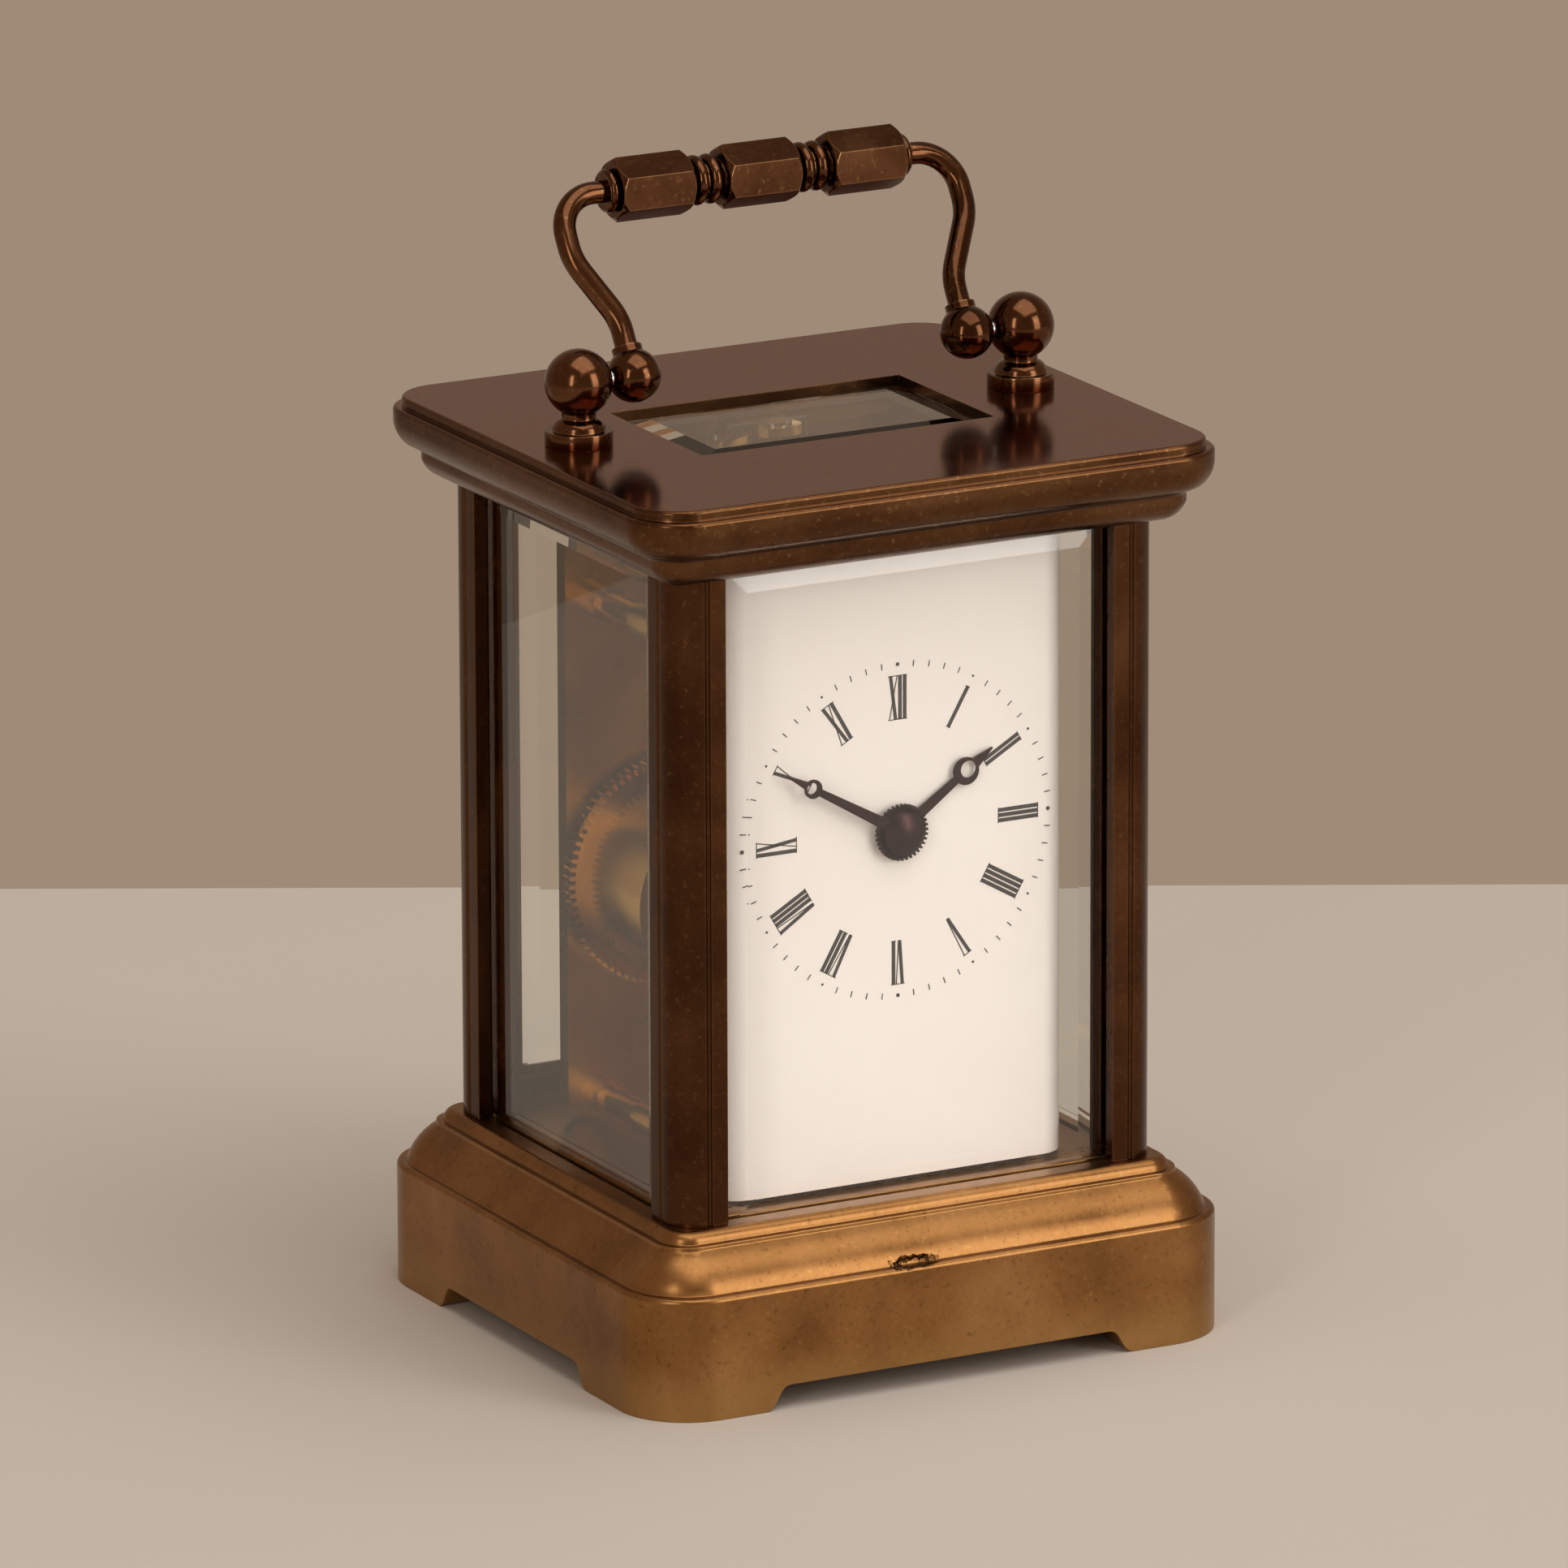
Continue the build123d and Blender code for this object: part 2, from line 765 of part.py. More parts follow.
def cornice():
    """Moulded top: corona and ovolos outside, hollow below, a glazed opening in the crown."""
    soffit_edge = (soffit_inset, soffit)
    neck_foot = (soffit_inset - lower_ovolo_width, soffit + lower_ovolo_rise)
    neck_head = (neck_foot[0], neck_top)
    cove_end = (neck_head[0] - cove_width, neck_top + cove_rise)
    drip_end = (cove_end[0] - drip_width, drip_height)
    nose = (drip_end[0] - upper_ovolo_width, nose_height)
    nose_head = (nose[0], nose_height + nose_band)
    ledge = (nose[0] + nose_round, nose_head[1] + nose_round)
    riser_foot = (ledge[0] + nose_ledge, ledge[1])
    riser_head = (riser_foot[0], case_top - top_round)
    crown_edge = (riser_head[0] + top_round, case_top)
    profile = [
        bulge(soffit_edge, neck_foot, lower_ovolo_bulge),
        Line(neck_foot, neck_head),
        bulge(neck_head, cove_end, -cove_hollow),
        Line(cove_end, drip_end),
        bulge(drip_end, nose, upper_ovolo_bulge),
        Line(nose, nose_head),
        bulge(nose_head, ledge, nose_round * quarter_bulge),
        Line(ledge, riser_foot),
        Line(riser_foot, riser_head),
        bulge(riser_head, crown_edge, top_round * quarter_bulge),
    ]
    ring_inset = cornice_corner - corner_margin
    body = mitred(profile, lip_half_x, lip_half_y, cornice_corner, ring_inset)
    core_inset = ring_inset - corner_margin / 2
    body = body + rounded_block(
        lip_half_x - core_inset, lip_half_y - core_inset, corner_margin, soffit, case_top
    )
    body = body - upright(
        Rectangle(2 * cornice_hollow_x, 2 * cornice_hollow_y), 0, 0, soffit, ceiling
    )
    body = body - upright(
        Rectangle(top_opening_width, top_opening_depth), 0, 0, ceiling, case_top
    )
    body = body - upright(
        Rectangle(
            top_opening_width + 2 * (top_glass_flange + glass_fit),
            top_opening_depth + 2 * (top_glass_flange + glass_fit),
        ),
        0, 0, ceiling, ceiling + top_glass_flange_thickness + glass_fit,
    )
    for cutter in glass_slots(soffit, soffit + cornice_slot_depth):
        body = body - cutter
    for x, y in four_ways(core_x, core_y):
        body = body - post(
            spigot_radius + plate_clearance, x, y, soffit, soffit + spigot_length + screw_hole_fit
        )
    for x in (-post_spacing / 2, post_spacing / 2):
        body = body - post(
            post_stem + thread_fit, x, 0, case_top - post_stem_length - screw_hole_fit, case_top
        )
    return body - post(
        hinge_pin_radius + hinge_running_fit, -door_axis_x, door_axis_y,
        soffit, soffit + hinge_pin_length,
    )


def bevelled_pane(width, height, thickness, bevel, drop):
    """Pane that lies flat, its bevelled face up."""
    body = extrude(Rectangle(width, height), amount=thickness - drop)
    rim = Pos(0, 0, thickness - drop) * Rectangle(width, height)
    table = Pos(0, 0, thickness) * Rectangle(width - 2 * bevel, height - 2 * bevel)
    return body + loft([rim, table])


def front_glass():
    width = 2 * (opening_half + groove_depth - glass_fit)
    pane = bevelled_pane(width, glass_height, glass_thickness, bevel_width, bevel_drop)
    back = -half_depth + glass_lip + glass_fit + glass_thickness
    return facing_front(0, glass_middle, back) * pane


def side_glass(side):
    """Left glass for side -1 and right glass for side +1, its bevelled face outwards."""
    width = 2 * (side_opening_half + groove_depth - glass_fit)
    pane = bevelled_pane(width, glass_height, glass_thickness, bevel_width, bevel_drop)
    inner_x = half_width - glass_lip - glass_fit - glass_thickness
    turned_out = Plane(
        origin=(side * inner_x, 0, glass_middle), x_dir=(0, side, 0), z_dir=(side, 0, 0)
    )
    return turned_out * pane


def top_glass():
    flange = upright(
        Rectangle(
            top_opening_width + 2 * top_glass_flange, top_opening_depth + 2 * top_glass_flange
        ),
        0, 0, ceiling, ceiling + top_glass_flange_thickness,
    )
    seat = ceiling + top_glass_flange_thickness
    raised = case_top - top_glass_recess - seat
    pane = bevelled_pane(
        top_opening_width - 2 * glass_fit, top_opening_depth - 2 * glass_fit,
        raised, top_bevel, top_bevel_drop,
    )
    return flange + Pos(0, 0, seat) * pane


def clip_places():
    x = top_opening_width / 2 - clip_length
    y = top_opening_depth / 2 + top_glass_flange
    return four_ways(x, y)


def top_glass_clips():
    """Four tabs screwed under the crown that hold the top glass up in its rebate."""
    tabs = []
    for x, y in clip_places():
        outward = 1 if y > 0 else -1
        tab = upright(
            Rectangle(clip_width, clip_length), x, y + outward * (clip_length / 2 - clip_lap),
            ceiling - clip_thickness, ceiling,
        )
        screw_y = y + outward * (clip_length - clip_lap) / 2
        head = post(
            clip_screw_head, x, screw_y,
            ceiling - clip_thickness - small_screw_head_height, ceiling - clip_thickness,
        )
        tabs.append(tab + head)
    return Compound(children=tabs)


def pivot_bore(radius, side, start, end):
    """Cylinder along the handle's pivot line between two distances from the middle."""
    rod = extrude(Plane.YZ * Circle(radius), amount=end - start)
    return (Pos(start, 0, 0) if side > 0 else Pos(-end, 0, 0)) * rod


def handle_posts():
    """Two turned posts screwed into the crown, each a foot, a coved neck and a ball."""
    cove = bulge((post_foot_lip, post_foot_thickness), (post_neck, post_cove_top), -post_cove_hollow)
    outline = [
        Line((0, -post_stem_length), (post_stem, -post_stem_length)),
        Line((post_stem, -post_stem_length), (post_stem, 0)),
        Line((post_stem, 0), (post_foot, 0)),
        Line((post_foot, 0), (post_foot, post_foot_thickness)),
        Line((post_foot, post_foot_thickness), cove @ 0),
        cove,
        Line(cove @ 1, (post_neck, post_neck_top)),
        Line((post_neck, post_neck_top), (0, post_neck_top)),
        Line((0, post_neck_top), (0, -post_stem_length)),
    ]
    body = revolve(Plane.XZ * make_face(outline), Axis.Z)
    body = body + Pos(0, 0, post_ball_height) * Sphere(post_ball)
    posts = []
    for side in (-1, 1):
        one = Pos(side * post_spacing / 2, 0, case_top) * body
        waste = Box(post_ball, 2 * post_ball, 2 * post_ball)
        one = one - Pos(side * (post_face - post_ball / 2), 0, pivot_height) * waste
        bore = pivot_bore(pivot_radius, side, post_face, post_face + pivot_depth)
        posts.append(one - Pos(0, 0, pivot_height) * bore)
    return Compound(children=posts)


def handle_pivot_pins():
    """Pins pressed into the post balls, on which the handle swings."""
    start = pivot_face - pivot_depth
    end = post_face + pivot_depth
    pins = [pivot_bore(pivot_radius, side, start, end) for side in (-1, 1)]
    return Compound(children=[Pos(0, 0, pivot_height) * pin for pin in pins])


def leaned(shape):
    """Carry the upright handle to its pivot and lean it back as it was left."""
    return Pos(0, 0, pivot_height) * Rot(-handle_lean, 0, 0) * shape


def handle_arm(side):
    """Swan-neck arm with the ball that swings on the pivot pin."""
    path = Plane.XZ * FilletPolyline(
        (pivot_half_spacing, arm_root),
        (pivot_half_spacing, arm_shoulder_height),
        (pivot_half_spacing + arm_bow, arm_bow_height),
        (pivot_half_spacing + arm_bow, handle_reach),
        (grip_half - arm_tenon, handle_reach),
        radius=[arm_bend, arm_bend, arm_top_bend],
    )
    start = Plane(origin=path @ 0, z_dir=path % 0)
    arm = sweep(start * Circle(arm_radius), path)
    ball = Pos(pivot_half_spacing, 0, 0) * Sphere(handle_ball)
    collar_foot = sqrt(handle_ball**2 - arm_collar**2)
    collar = post(
        arm_collar, pivot_half_spacing, 0, collar_foot, collar_foot + arm_collar_length
    )
    waste = Box(handle_ball, 2 * handle_ball, 2 * handle_ball)
    body = ball + collar + arm
    body = body - Pos(pivot_face + handle_ball / 2, 0, 0) * waste
    bore_end = pivot_face - pivot_depth - pivot_running_fit
    body = body - pivot_bore(pivot_radius + pivot_running_fit, 1, bore_end, pivot_face)
    if side < 0:
        body = mirror(body, about=Plane.YZ)
    return leaned(body)


def along_grip(radius, start, end):
    rod = extrude(Plane.YZ * Circle(radius), amount=end - start)
    return Pos(start, 0, handle_reach) * rod


def handle_grip():
    """Grip turned from hexagonal bar: three faceted barrels parted by pairs of beads."""
    hexagon = RegularPolygon(grip_corner, 6)
    barrel_pitch = grip_hex_length + grip_beads_length
    body = along_grip(grip_neck, -grip_half, grip_half)
    for index in (-1, 0, 1):
        blank = extrude(Plane.YZ * hexagon, amount=grip_hex_length / 2, both=True)
        ends = turned([
            (0, -grip_hex_length / 2),
            (grip_corner - grip_end_chamfer, -grip_hex_length / 2),
            (grip_corner, -grip_hex_length / 2 + grip_end_chamfer),
            (grip_corner, grip_hex_length / 2 - grip_end_chamfer),
            (grip_corner - grip_end_chamfer, grip_hex_length / 2),
            (0, grip_hex_length / 2),
        ])
        faceted = blank & (Rot(0, 90, 0) * ends)
        body = body + Pos(index * barrel_pitch, 0, handle_reach) * faceted
    for middle in (-barrel_pitch / 2, barrel_pitch / 2):
        for shift in (-grip_bead_spacing / 2, grip_bead_spacing / 2):
            ring = Rot(0, 90, 0) * Torus(grip_bead_ring, grip_bead)
            body = body + Pos(middle + shift, 0, handle_reach) * ring
    end_middle = grip_half - grip_end_length / 2
    for x in (-end_middle, end_middle):
        ring = Rot(0, 90, 0) * Torus(grip_end_ring, grip_end_bead)
        body = body + Pos(x, 0, handle_reach) * ring
    bore = arm_radius + plate_clearance
    body = body - along_grip(bore, grip_half - arm_tenon, grip_half + arm_tenon)
    body = body - along_grip(bore, -grip_half - arm_tenon, arm_tenon - grip_half)
    return leaned(body)


def door_frame():
    """Rear door frame: four stiles with a rebate for the glass and a rounded hinge edge."""
    height = door_top - door_bottom
    section = Rectangle(door_width, door_thickness)
    hinge_corners = section.vertices().sort_by(Axis.X)[:2]
    inner = hinge_corners.sort_by(Axis.Y)[0]
    section = fillet(inner, door_hinge_inset)
    outer = section.vertices().sort_by(Axis.Y)[-2:].sort_by(Axis.X)[0]
    section = fillet(outer, door_back_round)
    body = upright(section, 0, (door_outer_y + door_inner_y) / 2, door_bottom, door_top)
    window = Rectangle(door_width - 2 * door_stile, height - 2 * door_stile)
    body = body - slab(window, 0, door_middle, door_inner_y, door_outer_y)
    rebate = Rectangle(
        door_width - 2 * (door_stile - door_glass_lap - glass_fit),
        height - 2 * (door_stile - door_glass_lap - glass_fit),
    )
    rebate_back = door_inner_y + door_glass_thickness + glass_fit
    body = body - slab(rebate, 0, door_middle, door_inner_y, rebate_back)
    for low in (door_bottom, door_top - hinge_pin_length):
        body = body - post(
            hinge_pin_radius + plate_clearance, -door_axis_x, door_axis_y, low, low + hinge_pin_length
        )
    return body - disc(
        knob_neck + plate_clearance, knob_x, door_middle, door_inner_y, door_outer_y
    )


def door_glass():
    lap = 2 * (door_stile - door_glass_lap)
    pane = bevelled_pane(
        door_width - lap, door_top - door_bottom - lap, door_glass_thickness,
        door_glass_lap + door_bevel, bevel_drop,
    )
    outwards = Plane(
        origin=(0, door_inner_y + glass_fit, door_middle), x_dir=(-1, 0, 0), z_dir=(0, 1, 0)
    )
    return outwards * pane


def door_knob():
    """Ball knob, its neck riveted through the closing stile."""
    ball_at = knob_length - knob_radius
    body = post(knob_neck, 0, 0, -door_thickness, ball_at) + Pos(0, 0, ball_at) * Sphere(knob_radius)
    return Pos(knob_x, door_outer_y, door_middle) * Rot(-90, 0, 0) * body


def door_hinge_pins():
    """Pins fixed in the door's hinge edge that turn in the cornice and in the base."""
    reach = hinge_pin_length - 2 * hinge_running_fit
    upper = post(
        hinge_pin_radius, -door_axis_x, door_axis_y, door_top - hinge_pin_length, soffit + reach
    )
    lower = post(
        hinge_pin_radius, -door_axis_x, door_axis_y, base_top - reach, door_bottom + hinge_pin_length
    )
    return Compound(children=[upper, lower])


def rolled_section(width, depth, roll):
    """Section seen from above: flat in front, its two front corners rounded."""
    section = Rectangle(width, depth, align=(Align.CENTER, Align.MIN))
    return fillet(section.vertices().sort_by(Axis.Y)[:2], roll)


def dial():
    """White enamelled dial plate, its two upright edges rolled back, with four feet."""
    section = rolled_section(dial_width, dial_roll_depth, dial_roll)
    hollow = rolled_section(
        dial_width - 2 * dial_thickness, dial_roll_depth - dial_thickness, dial_roll - dial_thickness
    )
    section = section - Pos(0, dial_thickness) * hollow
    plate = upright(section, 0, dial_front, base_top + dial_bottom_gap, soffit + dial_top_rise)
    plate = plate - disc(dial_hole, 0, dial_centre_height, dial_front, dial_back)
    for x, z in dial_foot_places():
        plate = plate + disc(dial_foot_radius, x, z, dial_back, front_plate_back)
    return plate


def dial_foot_places():
    return [
        (x, dial_centre_height + z)
        for x in (-dial_foot_spread, dial_foot_spread)
        for z in (-dial_foot_rise, dial_foot_rise)
    ]


def hand_outline(length, ring_centre, ring, hole, hole_offset, flare):
    """Hand that points up: a tapering shank, a pierced ring and a fine point."""
    shank = make_face(Polyline(
        (-hand_root, 0), (-hand_waist, ring_centre), (hand_waist, ring_centre), (hand_root, 0),
        close=True,
    ))
    tip = make_face(Polyline(
        (-flare, ring_centre), (-hand_point, length), (hand_point, length), (flare, ring_centre),
        close=True,
    ))
    outline = shank + Pos(0, ring_centre) * Circle(ring) + tip
    return outline - Pos(0, ring_centre + hole_offset) * Circle(hole)


def hour_hand():
    outline = hand_outline(
        hour_hand_length, hour_ring_centre, hour_ring, hour_ring_hole, hour_ring_offset, hour_flare
    )
    outline = outline + Circle(hour_hub)
    outline = outline - Circle(hour_pipe_radius)
    return slab(
        Rot(0, 0, -hour_angle) * outline, 0, dial_centre_height, hour_hand_front, hour_hand_back
    )


def minute_hand():
    """Minute hand with the domed boss that closes the middle of the dial."""
    outline = hand_outline(
        minute_hand_length, minute_ring_centre, minute_ring, minute_ring_hole,
        minute_ring_offset, minute_flare,
    )
    hole_width = cannon_square + 2 * plate_clearance
    outline = outline + Circle(minute_hub) - Rectangle(hole_width, hole_width)
    blade = slab(
        Rot(0, 0, -minute_angle) * outline, 0, dial_centre_height, minute_hand_front, minute_hand_back
    )
    dome_ball = (hand_boss**2 + hand_boss_rise**2) / (2 * hand_boss_rise)
    dome_y = minute_hand_front + dome_ball - hand_boss_rise
    dome = Pos(0, dome_y, dial_centre_height) * Sphere(dome_ball)
    cap = dome & disc(
        hand_boss, 0, dial_centre_height, minute_hand_front - hand_boss_rise, minute_hand_front
    )
    return blade + cap


def wheel_outline(teeth, module, mate_leaves):
    """Wheel with cycloidal clock teeth, one tooth pointing along X."""
    pitch = module * teeth / 2
    rolling = module * mate_leaves / 4
    half_tooth = pi / (2 * teeth)
    flank = [(pitch - wheel_dedendum * module, 0)]
    for step in (0, 0.5, 1):
        reach = pitch + step * wheel_addendum * module
        span = pitch + rolling
        cosine = (span**2 + rolling**2 - reach**2) / (2 * rolling * span)
        roll = acos(min(cosine, 1))
        lean = rolling * roll / pitch
        lean = lean - atan2(rolling * sin(roll), span - rolling * cos(roll))
        flank.append((reach, lean))
    points = []
    for index in range(teeth):
        middle = 2 * pi * index / teeth
        points += [polar(reach, degrees(middle - half_tooth + lean)) for reach, lean in flank]
        points += [polar(reach, degrees(middle + half_tooth - lean)) for reach, lean in reversed(flank)]
    return make_face(Polyline(*points, close=True))


def pinion_outline(leaves, module, share):
    """Pinion with radial leaves and rounded ends, one gap pointing along X."""
    pitch = module * leaves / 2
    half_leaf = share * pi / leaves
    flank = [
        (pitch - pinion_dedendum * module, half_leaf),
        (pitch, half_leaf),
        (pitch + pinion_shoulder * module, half_leaf * leaf_shoulder_share),
        (pitch + pinion_addendum * module, half_leaf * leaf_tip_share),
    ]
    points = []
    for index in range(leaves):
        middle = 2 * pi * (index + 0.5) / leaves
        points += [polar(reach, degrees(middle - half)) for reach, half in flank]
        points += [polar(reach, degrees(middle + half)) for reach, half in reversed(flank)]
    return make_face(Polyline(*points, close=True))


def crossed_out(outline, hub, rim_inside, spoke):
    """Cut the four windows that leave a rim, a hub and four spokes."""
    window = Circle(rim_inside) - Circle(hub)
    for angle in (45, 135):
        window = window - Rot(0, 0, angle) * Rectangle(2 * rim_inside + spoke, spoke)
    return outline - window


def spoked_wheel(teeth, module, mate_leaves, bearing, at, bore, front, back):
    rim_inside = module * teeth / 2 - wheel_dedendum * module - rim_width
    blank = wheel_outline(teeth, module, mate_leaves)
    outline = crossed_out(blank, hub_radius, rim_inside, spoke_width)
    outline = Rot(0, 0, bearing) * outline - Circle(bore)
    return slab(outline, at[0], at[1], front, back)


def train_arbor(at, leaves, module, bearing, pinion_front, pinion_back):
    """Steel arbor between the plates with its pinion cut from the solid."""
    x, z = at
    body = disc(arbor_radius, x, z, front_plate_back + end_shake, back_plate_front - end_shake)
    body = body + disc(
        arbor_pivot, x, z, front_plate_front + end_shake, back_plate_back - end_shake
    )
    leaf = Rot(0, 0, bearing) * pinion_outline(leaves, module, leaf_share)
    return body + slab(leaf, x, z, pinion_front, pinion_back)


def plate_outline_body(front, back):
    middle = (base_top + plate_top) / 2
    outline = RectangleRounded(plate_width, plate_height, plate_corner)
    body = slab(outline, 0, middle, front, back)
    for x, z in plate_pillar_places():
        body = body - disc(small_screw_shank + screw_hole_fit, x, z, front, back)
    for x, z in (third_at, contrate_at):
        body = body - disc(arbor_pivot + pivot_fit, x, z, front, back)
    body = body - disc(barrel_arbor_journal + pivot_fit, barrel_at[0], barrel_at[1], front, back)
    body = body - disc(centre_journal + pivot_fit, 0, dial_centre_height, front, back)
    for x in (-platform_screw_x, platform_screw_x):
        body = body - post(
            small_screw_shank + thread_fit, x, (front + back) / 2,
            plate_top - small_screw_reach - screw_hole_fit, plate_top,
        )
    return body


def plate_pillar_places():
    return [
        (x, z)
        for x in (-plate_pillar_spread, plate_pillar_spread)
        for z in (plate_pillar_low_z, plate_pillar_high_z)
    ]


def front_plate():
    """Front plate with its dial foot holes and the stud for the minute wheel."""
    body = plate_outline_body(front_plate_front, front_plate_back)
    for x, z in dial_foot_places():
        body = body - disc(dial_foot_radius + thread_fit, x, z, front_plate_front, front_plate_back)
    stud_end = minute_wheel_front - minute_leaf_length
    return body + disc(stud_radius, minute_at[0], minute_at[1], stud_end, front_plate_back)


def back_plate():
    body = plate_outline_body(back_plate_front, back_plate_back)
    x, z = click_at
    body = body - disc(small_screw_shank + thread_fit, x, z, back_plate_front, back_plate_back)
    x, z = click_spring_at
    return body - disc(click_spring_pin + thread_fit, x, z, back_plate_front, back_plate_back)


def plate_pillars():
    """Four turned pillars, the lower two drilled from below for the case screws."""
    middle = (front_plate_back + back_plate_front) / 2
    pillars = []
    for x, z in plate_pillar_places():
        body = disc(plate_pillar_neck, x, z, front_plate_back, back_plate_front)
        for start, end in (
            (front_plate_back, front_plate_back + plate_pillar_end),
            (middle - plate_pillar_band / 2, middle + plate_pillar_band / 2),
            (back_plate_front - plate_pillar_end, back_plate_front),
        ):
            body = body + disc(plate_pillar_radius, x, z, start, end)
        depth = small_screw_reach + screw_hole_fit
        for start, end in (
            (front_plate_back, front_plate_back + depth), (back_plate_front - depth, back_plate_front)
        ):
            body = body - disc(small_screw_shank + thread_fit, x, z, start, end)
        if z < dial_centre_height:
            reach = base_top + screw_reach + screw_hole_fit
            body = body - post(screw_shank + thread_fit, x, 0, base_top, reach)
        pillars.append(body)
    return Compound(children=pillars)


def plate_screws():
    """Eight screws that hold the two plates to their pillars."""
    reach = plate_thickness + small_screw_reach
    one = screw(small_screw_shank, small_screw_head, small_screw_head_height, reach)
    screws = []
    for x, z in plate_pillar_places():
        screws.append(Pos(x, front_plate_front, z) * Rot(-90, 0, 0) * one)
        screws.append(Pos(x, back_plate_back, z) * Rot(90, 0, 0) * one)
    return Compound(children=screws)


def barrel_drum():
    """Open drum with the great wheel as its back wall."""
    x, z = barrel_at
    toothed = wheel_outline(barrel_teeth, barrel_module, centre_leaves)
    toothed = Rot(0, 0, barrel_bearing + 180) * toothed
    body = slab(toothed, x, z, great_wheel_front, great_wheel_back)
    wall = Circle(drum_radius) - Circle(drum_radius - barrel_wall)
    body = body + slab(wall, x, z, barrel_front, great_wheel_front)
    return body - disc(barrel_arbor_journal + pivot_fit, x, z, great_wheel_front, great_wheel_back)


def barrel_cap():
    """Cap pressed into the open end of the drum."""
    cap = Circle(drum_radius - barrel_wall - plate_clearance)
    cap = cap - Circle(barrel_arbor_journal + pivot_fit)
    return slab(cap, barrel_at[0], barrel_at[1], barrel_front, barrel_front + barrel_cap_thickness)


def spiral_strip(inner, outer, turns, thickness):
    """Closed outline of a flat spring wound from the inner to the outer radius."""
    steps = spiral_points * turns
    edges = []
    for shift in (-thickness / 2, thickness / 2):
        points = [
            polar(inner + (outer - inner) * step / steps + shift, 360 * turns * step / steps)
            for step in range(steps + 1)
        ]
        edges.append(Spline(*points))
    near, far = edges
    return make_face([near, Line(near @ 1, far @ 1), far, Line(far @ 0, near @ 0)])


def mainspring():
    inner = barrel_arbor_radius + spring_gap + spring_thickness / 2
    outer = drum_radius - barrel_wall - spring_gap - spring_thickness / 2
    strip = spiral_strip(inner, outer, spring_turns, spring_thickness)
    front = barrel_front + barrel_cap_thickness + 2 * end_shake
    return slab(strip, barrel_at[0], barrel_at[1], front, great_wheel_front - 2 * end_shake)


def barrel_arbor():
    """Winding arbor with its body inside the barrel and the key square behind the plates."""
    x, z = barrel_at
    body = disc(
        barrel_arbor_radius, x, z,
        barrel_front + barrel_cap_thickness + end_shake, great_wheel_front - end_shake,
    )
    square_front = back_plate_back + end_shake
    body = body + disc(barrel_arbor_journal, x, z, front_plate_front + end_shake, square_front)
    square = Rectangle(winding_square, winding_square)
    return body + slab(square, x, z, square_front, ratchet_front + winding_square_length)


def ratchet_wheel():
    """Ratchet on the winding square: each tooth has one radial face and one long slope."""
    points = []
    pitch = 360 / ratchet_teeth
    for index in range(ratchet_teeth):
        bearing = click_tip_bearing + ratchet_phase + index * pitch
        points.append(polar(ratchet_radius - ratchet_tooth_depth, bearing))
        points.append(polar(ratchet_radius, bearing))
    hole_width = winding_square + 2 * plate_clearance
    outline = make_face(Polyline(*points, close=True)) - Rectangle(hole_width, hole_width)
    return slab(outline, barrel_at[0], barrel_at[1], ratchet_front, ratchet_back)


def click():
    """Pawl that lets the ratchet turn one way only."""
    run = Vector(*click_tip) - Vector(*click_at)
    side = Vector(run.Y, -run.X).normalized()
    tip = Vector(*click_tip)
    pivot = Vector(*click_at)
    corners = [
        tip, pivot - side * click_heel, pivot + side * click_belly,
        tip + side * click_width - run.normalized() * click_nose,
    ]
    arm = make_face(Polyline(*[(corner.X, corner.Y) for corner in corners], close=True))
    outline = arm + Pos(*click_at) * Circle(click_eye)
    outline = outline - Pos(*click_at) * Circle(click_pivot + pivot_fit)
    return slab(outline, 0, 0, ratchet_front, ratchet_back)


def click_screw():
    """Shoulder screw on which the click swings."""
    x, z = click_at
    head_front = ratchet_back + end_shake
    body = disc(small_screw_shank, x, z, back_plate_front + end_shake, back_plate_back)
    body = body + disc(click_pivot, x, z, back_plate_back, head_front)
    head_back = head_front + click_screw_head_thickness
    body = body + disc(click_eye, x, z, head_front, head_back)
    slot = slab(
        Rectangle(2 * click_eye + screw_slot_width, screw_slot_width), x, z,
        head_back - click_screw_head_thickness * screw_slot_share, head_back,
    )
    return body - slot


def click_spring():
    """Bent blade spring, riveted to the back plate, that presses on the click."""
    start = Vector(*click_spring_at)
    end = Vector(click_tip[0] + click_width, click_tip[1] + click_spring_tip)
    outer = ThreePointArc(
        (start.X, start.Y), ((start.X + end.X) / 2, start.Y), (end.X, end.Y)
    )
    lowered = Pos(0, -click_spring_thickness) * outer
    blade = make_face([outer, Line(outer @ 1, lowered @ 1), lowered, Line(lowered @ 0, outer @ 0)])
    outline = blade + Pos(*click_spring_at) * Circle(click_spring_foot)
    body = slab(outline, 0, 0, ratchet_front, ratchet_back)
    x, z = click_spring_at
    body = body + disc(click_spring_foot, x, z, back_plate_back, ratchet_back)
    return body + disc(click_spring_pin, x, z, back_plate_front + end_shake, back_plate_back)


def centre_arbor():
    """Arbor of the minute hand, with the centre pinion and the setting square behind."""
    x, z = centre
    body = disc(
        centre_arbor_radius, x, z, front_plate_back + end_shake, back_plate_front - end_shake
    )
    rear = back_plate_back + end_shake
    body = body + disc(centre_journal, x, z, minute_hand_back, rear)
    leaf = Rot(0, 0, barrel_bearing) * pinion_outline(centre_leaves, barrel_module, leaf_share)
    overhang = pinion_overhang / 2
    body = body + slab(leaf, x, z, great_wheel_front - overhang, great_wheel_back + overhang)
    return body + slab(Rectangle(set_square, set_square), x, z, rear, rear + set_square_length)


def centre_wheel():
    return spoked_wheel(
        centre_teeth, centre_module, third_leaves, third_bearing, centre,
        centre_arbor_radius + thread_fit, centre_wheel_front, centre_wheel_back,
    )


